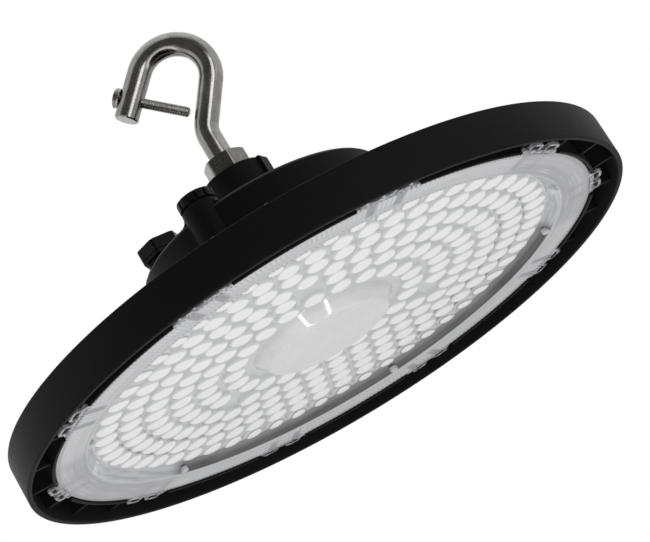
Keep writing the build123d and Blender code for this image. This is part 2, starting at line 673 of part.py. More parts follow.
def hook():
    """Bent round bar with a threaded shank and the tapped hole for the safety screw."""
    line = hook_line()
    bar = sweep(Plane(origin=(0, 0, NUT_TOP_Z)) * Circle(HOOK_BAR_RADIUS), path=line)
    tip_end = bar.faces().filter_by(GeomType.PLANE).sort_by(Axis.Z)[-1]
    bar = chamfer(tip_end.edges(), TIP_CHAMFER)
    shank = post(THREAD_RADIUS, HUB_TOP_Z - SHANK_DEPTH, NUT_TOP_Z)
    across = safety_plane()
    seat = Cylinder(
        SAFETY_HEAD_RADIUS + SAFETY_SEAT_MARGIN,
        HOOK_BAR_RADIUS,
        align=(Align.CENTER, Align.CENTER, Align.MAX),
    )
    seat = Pos(0, 0, SAFETY_SEAT_DEPTH - HOOK_BAR_RADIUS) * seat
    through = 3 * HOOK_BAR_RADIUS  # longer than the bar is thick
    hole = Cylinder(SAFETY_RADIUS + THREAD_GAP, through)
    return shank + bar - across * hole - across * seat


def hook_nut():
    """Hexagonal lock nut on the hub, chamfered at both ends."""
    corner = NUT_FLATS / sqrt(3)
    envelope = turned(
        (THREAD_RADIUS + THREAD_GAP, HUB_TOP_Z),
        (corner - NUT_CHAMFER, HUB_TOP_Z),
        (corner, HUB_TOP_Z + NUT_CHAMFER_RISE),
        (corner, NUT_TOP_Z - NUT_CHAMFER_RISE),
        (corner - NUT_CHAMFER, NUT_TOP_Z),
        (THREAD_RADIUS + THREAD_GAP, NUT_TOP_Z),
    )
    return envelope & hexagon(NUT_FLATS, HUB_TOP_Z, NUT_TOP_Z, NUT_TURN)


def safety_screw():
    """Slotted screw through the hook's tip that closes most of its mouth."""
    seat = SAFETY_SEAT_DEPTH - HOOK_BAR_RADIUS
    head = Pos(0, 0, seat) * Cylinder(
        SAFETY_HEAD_RADIUS, SAFETY_HEAD_HEIGHT, align=(Align.CENTER, Align.CENTER, Align.MAX)
    )
    head = chamfer(head.edges().group_by(Axis.Z)[0], SAFETY_HEAD_CHAMFER)
    shank = Pos(0, 0, seat) * Cylinder(
        SAFETY_RADIUS, SAFETY_REACH - seat, align=(Align.CENTER, Align.CENTER, Align.MIN)
    )
    slot = block((2 * SAFETY_HEAD_RADIUS, SLOT_CUT_WIDTH, SLOT_CUT_DEPTH), seat - SAFETY_HEAD_HEIGHT)
    return safety_plane() * (head + shank - slot)


def grub_length():
    """Length of the grub screw, from the shank's thread to the pad's face."""
    return HUB_RADIUS + PAD_PROUD - THREAD_RADIUS - THREAD_GAP


def grub_place():
    """Middle of the grub screw, turned so that its own Z axis points outwards."""
    middle = HUB_RADIUS + PAD_PROUD - grub_length() / 2
    return at(middle, PAD_ANGLE, HUB_TOP_Z - GRUB_DROP) * Rot(0, 90, 0)


def grub_screw():
    """Headless socket screw that locks the hook's thread."""
    body = Cylinder(GRUB_RADIUS, grub_length())
    socket = extrude(RegularPolygon(GRUB_SOCKET_RADIUS, 6), GRUB_SOCKET_DEPTH)
    return grub_place() * (body - Pos(0, 0, grub_length() / 2 - GRUB_SOCKET_DEPTH) * socket)


def port_seal():
    """Flat rubber ring under the port's cap."""
    outer = PORT_RADIUS - CAP_FLUTE_RADIUS
    ring = tube(PORT_BORE_RADIUS, outer, PORT_TOP_Z, PORT_TOP_Z + CAP_SEAL_HEIGHT)
    return at(PORT_CENTRE, PORT_ANGLE) * ring


def port_cap():
    """Fluted screw cap with a hollow stem in the port's bore."""
    under = PORT_TOP_Z + CAP_SEAL_HEIGHT
    top = under + CAP_HEIGHT
    head = post(PORT_RADIUS, under, top)
    head = chamfer(head.edges().group_by(Axis.Z)[-1], CAP_FLUTE_RADIUS)
    flute = post(CAP_FLUTE_RADIUS, under, top)
    head -= [place * flute for place in ring_places(CAP_FLUTES, 0, PORT_RADIUS)]
    stem_radius = PORT_BORE_RADIUS - CAP_STEM_GAP
    stem_end = CAVITY_TOP_Z + CAP_STEM_END_GAP
    stem = post(stem_radius, stem_end, under)
    hollow = post(stem_radius - CAP_STEM_WALL, stem_end, under)
    return at(PORT_CENTRE, PORT_ANGLE) * (head + stem - hollow)


def gland_place():
    """Axis of the cable gland."""
    return at(GLAND_CENTRE, GLAND_ANGLE)


def gland_body():
    """Gland body: stem through the boss, thin hexagonal collar and threaded neck."""
    neck_top = COLLAR_TOP_Z + GLAND_NECK_HEIGHT
    stem_end = CAVITY_TOP_Z - LOCKNUT_HEIGHT - LOCKNUT_WALL_GAP
    body = post(GLAND_STEM_RADIUS, stem_end, GLAND_SEAT_Z)
    body += hexagon(GLAND_FLATS, GLAND_SEAT_Z, COLLAR_TOP_Z, GLAND_TURN)
    body += post(GLAND_NECK_RADIUS, COLLAR_TOP_Z, neck_top)
    body -= post(GLAND_BORE_RADIUS, stem_end, neck_top)
    seal_seat = neck_top - GLAND_SEAL_HEIGHT + GLAND_SPACE
    body -= post(GLAND_SEAL_RADIUS + GLAND_SPACE, seal_seat, neck_top)
    return gland_place() * body


def gland_seal():
    """Rubber bush that closes on the supply cable."""
    top = COLLAR_TOP_Z + GLAND_NECK_HEIGHT + GLAND_SPACE
    bush = tube(GLAND_CABLE_RADIUS, GLAND_SEAL_RADIUS, top - GLAND_SEAL_HEIGHT, top)
    return gland_place() * bush


def gland_nut():
    """Low hexagonal nut that squeezes the bush."""
    low = COLLAR_TOP_Z + GLAND_COLLAR_GAP
    high = low + GLAND_NUT_HEIGHT
    corner = GLAND_FLATS / sqrt(3)
    envelope = turned(
        (0, low),
        (corner, low),
        (corner, high - GLAND_NUT_CHAMFER),
        (corner - GLAND_NUT_CHAMFER, high),
        (0, high),
    )
    nut = envelope & hexagon(GLAND_FLATS, low, high, GLAND_TURN)
    nut -= post(GLAND_NECK_RADIUS + THREAD_GAP, low, high - GLAND_NUT_TOP_WALL)
    nut -= post(GLAND_NUT_HOLE_RADIUS, low, high)
    return gland_place() * nut


def gland_locknut():
    """Thin nut that holds the gland from inside the drum."""
    nut = hexagon(LOCKNUT_FLATS, CAVITY_TOP_Z - LOCKNUT_HEIGHT, CAVITY_TOP_Z)
    nut -= post(GLAND_STEM_RADIUS + THREAD_GAP, CAVITY_TOP_Z - LOCKNUT_HEIGHT, CAVITY_TOP_Z)
    return gland_place() * nut


def breather_plug():
    """Vent plug that evens out the drum's pressure, slotted around its head."""
    top = DRUM_TOP_Z + BREATHER_HEAD_HEIGHT
    head = post(BREATHER_HEAD_RADIUS, DRUM_TOP_Z, top)
    head = chamfer(head.edges().group_by(Axis.Z)[-1], BREATHER_HEAD_CHAMFER)
    slot = block((BREATHER_STEM_RADIUS, BREATHER_SLOT_WIDTH, BREATHER_SLOT_HEIGHT), DRUM_TOP_Z)
    head -= [place * slot for place in ring_places(BREATHER_SLOTS, 0, BREATHER_HEAD_RADIUS)]
    stem = post(BREATHER_STEM_RADIUS, DRUM_TOP_Z - BREATHER_STEM_LENGTH, DRUM_TOP_Z)
    return at(BREATHER_CENTRE, BREATHER_ANGLE) * (head + stem)


def driver_corners():
    """Places of the driver board's four fixing holes."""
    x = DRIVER_LENGTH / 2 - DRIVER_HOLE_INSET
    y = DRIVER_WIDTH / 2 - DRIVER_HOLE_INSET
    return [Pos(sx * x, sy * y, 0) for sx in (-1, 1) for sy in (-1, 1)]


def driver_board():
    """Driver's circuit board with clipped corners."""
    outline = Rectangle(DRIVER_LENGTH, DRIVER_WIDTH)
    outline = chamfer(outline.vertices(), DRIVER_CORNER)
    board = Pos(0, 0, DRIVER_Z) * extrude(outline, DRIVER_THICKNESS)
    hole = post(DRIVER_SCREW_RADIUS + DRIVER_SCREW_GAP, DRIVER_Z, DRIVER_TOP_Z)
    return board - [place * hole for place in driver_corners()]


def driver_standoffs():
    """Threaded posts that carry the driver's board above the dish."""
    standoff = tube(DRIVER_SCREW_RADIUS + DRIVER_SCREW_GAP, STANDOFF_RADIUS, PLATE_TOP_Z, DRIVER_Z)
    return group(place * standoff for place in driver_corners())


def driver_screws():
    """Screws through the driver's board into its posts."""
    head = post(DRIVER_SCREW_HEAD_RADIUS, DRIVER_TOP_Z, DRIVER_TOP_Z + DRIVER_SCREW_HEAD_HEIGHT)
    shank = post(DRIVER_SCREW_RADIUS, DRIVER_Z - DRIVER_SCREW_REACH, DRIVER_TOP_Z)
    screw = head + shank
    return group(place * screw for place in driver_corners())


def transformer():
    """Ferrite core with its round winding."""
    core = block(TRANSFORMER_CORE, DRIVER_TOP_Z)
    coil_z = DRIVER_TOP_Z + (TRANSFORMER_CORE[2] - TRANSFORMER_COIL_HEIGHT) / 2
    winding = post(TRANSFORMER_COIL_RADIUS, coil_z, coil_z + TRANSFORMER_COIL_HEIGHT)
    return Pos(*TRANSFORMER_PLACE) * (core + winding)


def bulk_capacitors():
    """Upright electrolytic capacitors."""
    can = post(CAPACITOR_RADIUS, DRIVER_TOP_Z, DRIVER_TOP_Z + CAPACITOR_HEIGHT)
    can = chamfer(can.edges().group_by(Axis.Z)[-1], CAPACITOR_CHAMFER)
    return group(Pos(*place) * can for place in CAPACITOR_PLACES)


def line_choke():
    """Ring-shaped mains choke lying on the board."""
    ring = tube(CHOKE_HOLE_RADIUS, CHOKE_RADIUS, DRIVER_TOP_Z, DRIVER_TOP_Z + CHOKE_HEIGHT)
    return Pos(*CHOKE_PLACE) * ring


def power_transistors():
    """Upright transistors at the board's edge."""
    body = block(TRANSISTOR_SIZE, DRIVER_TOP_Z)
    return group(Pos(*place) * body for place in TRANSISTOR_PLACES)


def terminal_block():
    """Terminal block for the supply cable's cores, below the gland."""
    width = TERMINAL_SIZE[1] / TERMINAL_WAYS
    body = block(TERMINAL_SIZE, DRIVER_TOP_Z)
    top = DRIVER_TOP_Z + TERMINAL_SIZE[2]
    way = post(TERMINAL_WAY_RADIUS, top - TERMINAL_WAY_DEPTH, top)
    first = -width * (TERMINAL_WAYS - 1) / 2
    body -= [Pos(0, first + width * index, 0) * way for index in range(TERMINAL_WAYS)]
    return Pos(*TERMINAL_PLACE) * body


PIECES = (
    heat_sink,
    lens,
    lens_gasket,
    led_board,
    leds,
    thermal_pad,
    board_screws,
    lead_grommet,
    led_leads,
    driver_housing,
    housing_seal,
    housing_screws,
    hook,
    hook_nut,
    safety_screw,
    grub_screw,
    port_seal,
    port_cap,
    gland_body,
    gland_seal,
    gland_nut,
    gland_locknut,
    breather_plug,
    driver_board,
    driver_standoffs,
    driver_screws,
    transformer,
    bulk_capacitors,
    line_choke,
    power_transistors,
    terminal_block,
)

os.makedirs("parts", exist_ok=True)
for piece in PIECES:
    export_step(piece(), f"parts/{piece.__name__}.step")
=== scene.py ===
"""Looks of the high bay light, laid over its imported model.

The lamp hangs by its hook, and the camera looks up at it from the front, so the domed lens
plate, the plain outer ring and the hook carry the picture. Sizes are in millimetres here and
become metres when a mesh is made. Heights count from the ring's lower rim, radii from the
lamp's axis, and angles from +X towards +Y.
"""
from __future__ import annotations

import logging
import math
from dataclasses import dataclass, field
from enum import Enum
from typing import Callable, Optional, Sequence, Union

import bmesh
import bpy
import numpy as np
from mathutils import Matrix, Vector

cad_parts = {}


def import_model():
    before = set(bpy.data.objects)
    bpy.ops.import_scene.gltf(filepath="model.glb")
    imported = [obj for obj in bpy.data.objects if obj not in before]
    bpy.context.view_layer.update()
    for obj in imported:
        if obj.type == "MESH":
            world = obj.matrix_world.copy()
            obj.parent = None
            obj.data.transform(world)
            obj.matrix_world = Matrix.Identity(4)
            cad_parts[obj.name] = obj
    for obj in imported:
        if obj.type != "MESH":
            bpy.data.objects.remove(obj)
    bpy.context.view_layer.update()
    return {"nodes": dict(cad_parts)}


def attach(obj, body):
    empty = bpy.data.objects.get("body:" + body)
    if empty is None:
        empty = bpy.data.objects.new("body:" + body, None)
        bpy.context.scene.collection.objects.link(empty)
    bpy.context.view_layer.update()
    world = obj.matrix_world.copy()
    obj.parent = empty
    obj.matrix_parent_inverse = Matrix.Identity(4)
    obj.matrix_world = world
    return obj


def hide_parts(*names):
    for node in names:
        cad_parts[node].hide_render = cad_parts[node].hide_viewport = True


LOG = logging.getLogger("high_bay_light")
MM = 0.001
BODY = "root"

Colour = tuple[float, float, float]


# ---------------------------------------------------------------------------
# Surfaces
# ---------------------------------------------------------------------------


@dataclass
class Surface:
    """Points in millimetres, the faces between them, and named values at the points.

    Attributes:
        points: Array of shape (n, 3).
        faces: Blocks of faces, each an array of shape (m, corners).
        values: One array of n numbers for each name.
    """

    points: np.ndarray
    faces: list[np.ndarray]
    values: dict[str, np.ndarray] = field(default_factory=dict)

    @staticmethod
    def woven(grid: np.ndarray, wrap_rows: bool = False, wrap_columns: bool = False) -> "Surface":
        """Weaves a grid of points into four-cornered faces.

        Face (i, j) has the corners (i, j), (i + 1, j), (i + 1, j + 1) and (i, j + 1), counted
        round again where a direction wraps.

        Args:
            grid: Points of shape (rows, columns, 3).
            wrap_rows: Whether the last row meets the first.
            wrap_columns: Whether the last column meets the first.

        Returns:
            The surface.
        """
        rows, columns = grid.shape[:2]
        i, j = np.meshgrid(
            np.arange(rows if wrap_rows else rows - 1),
            np.arange(columns if wrap_columns else columns - 1),
            indexing="ij",
        )
        down, across = (i + 1) % rows, (j + 1) % columns
        corners = (i * columns + j, down * columns + j, down * columns + across, i * columns + across)
        faces = np.stack([corner.ravel() for corner in corners], axis=1)
        return Surface(grid.reshape(-1, 3), [faces])

    def lidded(self, *loops: Sequence[int]) -> "Surface":
        """Closes open ends with one face each, given as runs of point numbers."""
        self.faces += [np.asarray(loop, int)[None, :] for loop in loops]
        return self

    def valued(self, name: str, numbers: np.ndarray) -> "Surface":
        """Stores a value for each point under a name."""
        self.values[name] = np.broadcast_to(numbers, len(self.points)).astype(float)
        return self

    def copied(self, places: np.ndarray) -> "Surface":
        """Repeats the surface at each place.

        Copy k of point p is places[k] applied to p, for all k and p at once.

        Args:
            places: Matrices of shape (copies, 4, 4), in millimetres.

        Returns:
            One surface with all the copies.
        """
        count, size = len(places), len(self.points)
        turned_points = np.einsum("kij,pj->kpi", places[:, :3, :3], self.points)
        points = turned_points + places[:, None, :3, 3]
        shift = (np.arange(count) * size)[:, None, None]
        faces = [(block[None] + shift).reshape(-1, block.shape[1]) for block in self.faces]
        values = {name: np.tile(numbers, count) for name, numbers in self.values.items()}
        return Surface(points.reshape(-1, 3), faces, values)

    def joined(self, *others: "Surface") -> "Surface":
        """Puts several surfaces into one, with value 0 where one lacks a name."""
        parts = (self,) + others
        starts = np.cumsum([0] + [len(part.points) for part in parts])
        faces = [block + start for part, start in zip(parts, starts) for block in part.faces]
        names = {name for part in parts for name in part.values}
        values = {
            name: np.concatenate([part.values.get(name, np.zeros(len(part.points))) for part in parts])
            for name in names
        }
        return Surface(np.concatenate([part.points for part in parts]), faces, values)


def built(
    surface: Surface,
    name: str,
    finish: "Finish",
    bevel: float = 0.0,
    crease: float = 32.0,
    flatten: float = 0.0,
    replaces: Sequence[str] = (),
) -> bpy.types.Object:
    """Makes a finished piece out of a surface and lets it ride on the lamp.

    Points that coincide are merged, so poles and seams close, and the faces are then turned
    outwards. Edges sharper than the crease stay sharp, and all others are shaded smooth.

    Args:
        surface: The shape in millimetres.
        name: Name of the piece.
        finish: Its finish.
        bevel: Width of the bevel on its sharp edges, in millimetres.
        crease: Angle in degrees from which an edge is sharp.
        flatten: How far the shading normals are turned straight down, as light that is spread
            inside a clear dome evens out its shading.
        replaces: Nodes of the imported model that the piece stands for.

    Returns:
        The object.
    """
    mesh = bpy.data.meshes.new(name)
    faces = [face for block in surface.faces for face in block.tolist()]
    mesh.from_pydata((surface.points * MM).tolist(), [], faces)
    for label, numbers in surface.values.items():
        mesh.attributes.new(label, "FLOAT", "POINT").data.foreach_set("value", numbers)
    work = bmesh.new()
    work.from_mesh(mesh)
    bmesh.ops.remove_doubles(work, verts=work.verts, dist=0.5e-6)
    bmesh.ops.recalc_face_normals(work, faces=work.faces)
    work.to_mesh(mesh)
    work.free()
    mesh.shade_smooth()
    mesh.set_sharp_from_angle(angle=math.radians(crease))
    if flatten:
        normals = np.empty(3 * len(mesh.vertices))
        mesh.vertices.foreach_get("normal", normals)
        normals = (1 - flatten) * normals.reshape(-1, 3) + flatten * np.array([0.0, 0.0, -1.0])
        normals /= np.maximum(np.linalg.norm(normals, axis=1, keepdims=True), 1e-6)
        mesh.normals_split_custom_set_from_vertices(normals.tolist())
    mesh.materials.append(finish.material())
    piece = bpy.data.objects.new(name, mesh)
    bpy.context.scene.collection.objects.link(piece)
    if bevel:
        modifier = piece.modifiers.new("edge", "BEVEL")
        modifier.width = bevel * MM
        modifier.segments = 2
        modifier.limit_method = "ANGLE"
        modifier.angle_limit = math.radians(crease)
        modifier.harden_normals = False
    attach(piece, BODY)
    if replaces:
        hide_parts(*replaces)
    LOG.info("%s: %d faces", name, len(mesh.polygons))
    return piece


def rounded(corners: Sequence[Sequence[float]], radii: Union[float, Sequence[float]], steps: int = 4) -> np.ndarray:
    """Closed outline with an arc in each corner.

    For a corner with unit vectors a and b to its neighbours and half its angle h, the arc has
    its centre at radius / sin(h) along a + b and starts at radius / tan(h) along a and b. Its
    points are the even turn (slerp) from the first spoke to the last.

    Args:
        corners: Corner points of the outline, in order.
        radii: One radius for all corners or one for each.
        steps: Points on each arc.

    Returns:
        Array of shape (corners * steps, 2).
    """
    corner = np.asarray(corners, float)
    radius = np.maximum(np.broadcast_to(np.asarray(radii, float), len(corner)), 0.01)[:, None]
    back = np.roll(corner, 1, 0) - corner
    ahead = np.roll(corner, -1, 0) - corner
    back /= np.linalg.norm(back, axis=1, keepdims=True)
    ahead /= np.linalg.norm(ahead, axis=1, keepdims=True)
    half = 0.5 * np.arccos(np.clip((back * ahead).sum(1, keepdims=True), -1, 1))
    inward = (back + ahead) / np.linalg.norm(back + ahead, axis=1, keepdims=True)
    centre = corner + inward * radius / np.sin(half)
    first = (corner + back * radius / np.tan(half) - centre) / radius
    last = (corner + ahead * radius / np.tan(half) - centre) / radius
    turn = (np.pi - 2 * half)[:, None]
    share = np.linspace(0, 1, steps)[None, :, None]
    spoke = (np.sin((1 - share) * turn) * first[:, None] + np.sin(share * turn) * last[:, None]) / np.sin(turn)
    return (centre[:, None] + spoke * radius[:, None]).reshape(-1, 2)


def turned(outline: np.ndarray, segments: int, start: float = 0.0, stop: float = 360.0) -> Surface:
    """Turns an outline of (radius, height) about the lamp's axis.

    Point (i, j) is (r_i cos(t_j), r_i sin(t_j), z_i), with the angles t_j evenly spaced.

    Args:
        outline: Closed outline of shape (n, 2).
        segments: Steps around the axis.
        start: First angle in degrees.
        stop: Last angle in degrees. A turn of less than 360 degrees gets end faces.

    Returns:
        The surface.
    """
    whole = stop - start >= 360.0
    angle = np.radians(np.linspace(start, stop, segments + 1))
    if whole:
        angle = angle[:-1]
    radius, height = outline[:, :1], outline[:, 1:]
    grid = np.stack(
        np.broadcast_arrays(radius * np.cos(angle), radius * np.sin(angle), height), axis=2
    )
    surface = Surface.woven(grid, wrap_rows=True, wrap_columns=whole)
    if not whole:
        first = np.arange(len(outline)) * len(angle)
        surface.lidded(first, first + len(angle) - 1)
    return surface


def prism(outline: np.ndarray, thickness: Union[float, np.ndarray]) -> Surface:
    """Flat plate with its outline in the XZ plane, as thick at each point as given.

    The two rows of points are the outline at y = -thickness / 2 and y = +thickness / 2.
    """
    half = np.broadcast_to(np.asarray(thickness, float) / 2, len(outline))
    near = np.stack([outline[:, 0], -half, outline[:, 1]], axis=1)
    far = np.stack([outline[:, 0], half, outline[:, 1]], axis=1)
    surface = Surface.woven(np.stack([near, far]), wrap_columns=True)
    loop = np.arange(len(outline))
    return surface.lidded(loop, loop + len(outline))


def placed(angles: Union[float, np.ndarray], radius: float = 0.0, height: float = 0.0) -> np.ndarray:
    """Matrices that turn about the axis by each angle and move outwards by the radius."""
    angle = np.radians(np.atleast_1d(np.asarray(angles, float)))
    matrices = np.tile(np.eye(4), (len(angle), 1, 1))
    matrices[:, 0, 0] = matrices[:, 1, 1] = np.cos(angle)
    matrices[:, 1, 0] = np.sin(angle)
    matrices[:, 0, 1] = -np.sin(angle)
    matrices[:, 0, 3] = radius * np.cos(angle)
    matrices[:, 1, 3] = radius * np.sin(angle)
    matrices[:, 2, 3] = height
    return matrices


def around(count: int, phase: float) -> np.ndarray:
    """Evenly spaced angles in degrees."""
    return phase + 360.0 / count * np.arange(count)


def hexagon_radius(angle: np.ndarray, flats: float, turn: float) -> np.ndarray:
    """Distance from a hexagon's axis to its side at each angle.

    It is half the width across flats over the cosine of the angle to the nearest flat's middle.
    """
    nearest = (angle - math.radians(turn)) % (np.pi / 3) - np.pi / 6
    return flats / 2 / np.cos(nearest)


def faceted(levels: Sequence[tuple[float, float, bool]], shape: Callable[[np.ndarray], np.ndarray], segments: int) -> Surface:
    """Turned body whose outer rows follow a shape around the axis.

    Row i lies at its level's height. Its radius at angle t is the smaller of the level's limit
    and shape(t) where the level is an outer one, and the limit alone elsewhere.

    Args:
        levels: (limit radius, height, whether it is an outer level), once round the section.
        shape: Radius of the outer shape at each angle in radians.
        segments: Steps around the axis.

    Returns:
        The closed surface.
    """
    angle = np.linspace(0, 2 * np.pi, segments, endpoint=False)
    limit, height, outer = (np.array(column, float)[:, None] for column in zip(*levels))
    radius = np.where(outer > 0, np.minimum(limit, shape(angle)), limit)
    grid = np.stack(
        np.broadcast_arrays(radius * np.cos(angle), radius * np.sin(angle), height), axis=2
    )
    return Surface.woven(grid, wrap_rows=True, wrap_columns=True)


# ---------------------------------------------------------------------------
# Finishes
# ---------------------------------------------------------------------------


class Signal:
    """A number that runs through a finish's nodes. Arithmetic on it adds Math nodes."""

    def __init__(self, paint: "Paint", socket: bpy.types.NodeSocket) -> None:
        """Wraps one output socket."""
        self.paint = paint
        self.socket = socket

    def _math(self, operation: str, *others: Union["Signal", float], first: Optional[float] = None) -> "Signal":
        """Adds a Math node with this signal and the others as its values."""
        values: list[Union[Signal, float]] = [self, *others]
        if first is not None:
            values = [first, self]
        return self.paint.node("ShaderNodeMath", {"operation": operation}, dict(enumerate(values)))

    def __add__(self, other: Union["Signal", float]) -> "Signal":
        """Sum."""
        return self._math("ADD", other)

    __radd__ = __add__

    def __sub__(self, other: Union["Signal", float]) -> "Signal":
        """Difference."""
        return self._math("SUBTRACT", other)

    def __rsub__(self, other: float) -> "Signal":
        """Difference from a number."""
        return self._math("SUBTRACT", first=other)

    def __mul__(self, other: Union["Signal", float]) -> "Signal":
        """Product."""
        return self._math("MULTIPLY", other)

    __rmul__ = __mul__

    def __truediv__(self, other: Union["Signal", float]) -> "Signal":
        """Quotient."""
        return self._math("DIVIDE", other)

    def __rtruediv__(self, other: float) -> "Signal":
        """Quotient of a number."""
        return self._math("DIVIDE", first=other)

    def __pow__(self, other: float) -> "Signal":
        """Power."""
        return self._math("POWER", other)

    def __neg__(self) -> "Signal":
        """Negative."""
        return self._math("MULTIPLY", -1.0)

    def sine(self) -> "Signal":
        """Sine of an angle in radians."""
        return self._math("SINE")

    def size(self) -> "Signal":
        """Value without its sign."""
        return self._math("ABSOLUTE")

    def root(self) -> "Signal":
        """Square root."""
        return self._math("SQRT")

    def turn_from(self, x: "Signal") -> "Signal":
        """Angle in radians of the direction with this Y and the given X."""
        return self._math("ARCTAN2", x)

    def wrapped(self, period: float) -> "Signal":
        """Distance from the nearest multiple of the period, with its sign."""
        return self._math("WRAP", period / 2, -period / 2)

    def rise(self, low: float, high: float) -> "Signal":
        """Smooth step from 0 at the low value to 1 at the high one."""
        settings = {"interpolation_type": "SMOOTHSTEP"}
        return self.paint.node("ShaderNodeMapRange", settings, {"Value": self, "From Min": low, "From Max": high})

    def band(self, low: float, high: float, edge: float) -> "Signal":
        """1 between two values, with a soft edge on both sides."""
        return self.rise(low - edge, low + edge) * (1 - self.rise(high - edge, high + edge))


class Paint:
    """The node tree of one finish."""

    def __init__(self, name: str) -> None:
        """Starts a material with one Principled shader."""
        self.material = bpy.data.materials.new(name)
        self.material.use_nodes = True
        self.tree = self.material.node_tree
        self.tree.nodes.clear()
        self.output = self.tree.nodes.new("ShaderNodeOutputMaterial")
        self.shader = self.tree.nodes.new("ShaderNodeBsdfPrincipled")
        self.tree.links.new(self.shader.outputs[0], self.output.inputs["Surface"])

    def node(self, kind: str, settings: dict[str, object], inputs: dict[Union[str, int], object], output: Union[str, int] = 0) -> Signal:
        """Adds a node.

        Args:
            kind: The node's type.
            settings: Its properties, which are set first.
            inputs: Values or signals for its sockets, by name or number.
            output: The output that the result carries.

        Returns:
            Its output as a signal.
        """
        made = self.tree.nodes.new(kind)
        for name, setting in settings.items():
            setattr(made, name, setting)
        for name, given in inputs.items():
            self.feed(made.inputs[name], given)
        return Signal(self, made.outputs[output])

    def feed(self, socket: bpy.types.NodeSocket, given: object) -> None:
        """Links a signal to a socket or sets a constant on it."""
        if isinstance(given, Signal):
            self.tree.links.new(given.socket, socket)
        elif isinstance(given, tuple) and len(given) == 3 and socket.type == "RGBA":
            socket.default_value = (*given, 1.0)
        else:
            socket.default_value = given

    def set(self, **inputs: object) -> None:
        """Feeds the shader's sockets, named with _ for each space."""
        for name, given in inputs.items():
            self.feed(self.shader.inputs[name.replace("_", " ").title().replace("Ior", "IOR")], given)

    def place(self) -> Signal:
        """Position on the lamp, in metres."""
        return self.node("ShaderNodeTexCoord", {}, {}, "Object")

    def axes(self, vector: Optional[Signal] = None) -> tuple[Signal, Signal, Signal]:
        """The three parts of a vector, which is the place where none is given."""
        split = self.node("ShaderNodeSeparateXYZ", {}, {"Vector": vector or self.place()})
        outputs = split.socket.node.outputs
        return Signal(self, outputs[0]), Signal(self, outputs[1]), Signal(self, outputs[2])

    def value(self, name: str) -> Signal:
        """A value stored at the piece's points."""
        return self.node("ShaderNodeAttribute", {"attribute_name": name}, {}, "Fac")

    def joined(self, x: object, y: object, z: object) -> Signal:
        """A vector out of three numbers."""
        return self.node("ShaderNodeCombineXYZ", {}, {0: x, 1: y, 2: z})

    def noise(self, scale: float, detail: float = 3.0, vector: Optional[Signal] = None) -> Signal:
        """Soft noise between 0 and 1."""
        return self.node(
            "ShaderNodeTexNoise", {}, {"Vector": vector or self.place(), "Scale": scale, "Detail": detail}
        )

    def blend(self, share: object, low: object, high: object) -> Signal:
        """Colour between two others."""
        mixed = self.node("ShaderNodeMix", {"data_type": "RGBA"}, {0: share, 6: low, 7: high}, 2)
        return mixed

    def bumped(self, height: Signal, depth: float, strength: float = 1.0, over: Optional[Signal] = None) -> Signal:
        """Normal bent by a height, with its depth in millimetres."""
        inputs: dict[Union[str, int], object] = {"Height": height, "Distance": depth * MM, "Strength": strength}
        if over is not None:
            inputs["Normal"] = over
        return self.node("ShaderNodeBump", {}, inputs)


class Finish:
    """A finish makes its material once and then hands it out."""

    title = "finish"

    def material(self) -> bpy.types.Material:
        """The material, made at the first call."""
        ready = bpy.data.materials.get(self.title)
        if ready is None:
            paint = Paint(self.title)
            self.painted(paint)
            ready = paint.material
        return ready

    def painted(self, paint: Paint) -> None:
        """Sets up the nodes."""
        raise NotImplementedError


@dataclass(frozen=True)
class PowderCoat(Finish):
    """Black powder coat on cast metal: near black, satin, with a very fine orange peel."""

    title: str = "powder_coat"
    tone: float = 0.0062
    roughness: float = 0.57
    # Turned edges, as (radius, height) in millimetres, that get a painted highlight, and the highlight's tone.
    highlight_rims: tuple[tuple[float, float], ...] = ()
    highlight_tone: float = 0.03

    def painted(self, paint: Paint) -> None:
        """Slow drift in tone, fine drift in gloss, two sizes of peel, and a painted highlight on turned edges."""
        drift = paint.noise(22.0, 2.0)
        grain = paint.noise(1500.0, 2.0)
        peel = paint.noise(520.0, 2.0)
        low = (self.tone * 0.82, self.tone * 0.82, self.tone * 0.86)
        high = (self.tone * 1.2, self.tone * 1.2, self.tone * 1.22)
        tone = paint.blend(drift * 0.6 + grain * 0.4, low, high)
        # Painted highlight: the coat turns paler close to each turned edge, as light catching it.
        if self.highlight_rims:
            x, y, z = paint.axes()
            radius, height = (x * x + y * y).root() * 1000.0, z * 1000.0
            for rim_radius, rim_height in self.highlight_rims:
                away = ((radius - rim_radius) ** 2 + (height - rim_height) ** 2).root()
                tone = paint.blend(1 - away.rise(0.7, 1.6), tone, (self.highlight_tone,) * 3)
        paint.set(
            base_color=tone,
            roughness=self.roughness + (peel - 0.5) * 0.12 + (drift - 0.5) * 0.08,
            normal=paint.bumped(peel * 0.6 + grain * 0.4, 0.035, 0.5),
        )
        paint.shader.inputs["Specular IOR Level"].default_value = 0.075


@dataclass(frozen=True)
class DrawnSteel(Finish):
    """Stainless bar with the faint lengthwise lines that drawing and bending leave."""

    title: str = "drawn_steel"
    tone: Colour = (0.27, 0.264, 0.253)
    roughness: float = 0.19
    lines: bool = True

    def painted(self, paint: Paint) -> None:
        """Lines run along the bar; their value comes from the bar's own along and round values."""
        cloud = paint.noise(160.0, 4.0)
        speck = paint.noise(1900.0, 2.0)
        if self.lines:
            course = paint.joined(paint.value("along") * 0.05, paint.value("round") * 9.0, 0.0)
        else:
            x, y, z = paint.axes()
            course = paint.joined(x * 400.0, y * 400.0, z * 6000.0)
        line = paint.noise(1.0, 4.0, course)
        shade = line * 0.4 + cloud * 0.25 + speck * 0.35
        dark = tuple(0.66 * part for part in self.tone)
        light = tuple(min(1.0, 1.3 * part) for part in self.tone)
        paint.set(
            metallic=1.0,
            base_color=paint.blend(shade.rise(0.36, 0.64), dark, light),
            roughness=self.roughness + (cloud - 0.5) * 0.12 + (line - 0.5) * 0.2,
            normal=paint.bumped(line * 0.6 + speck * 0.4, 0.03, 0.4),
        )


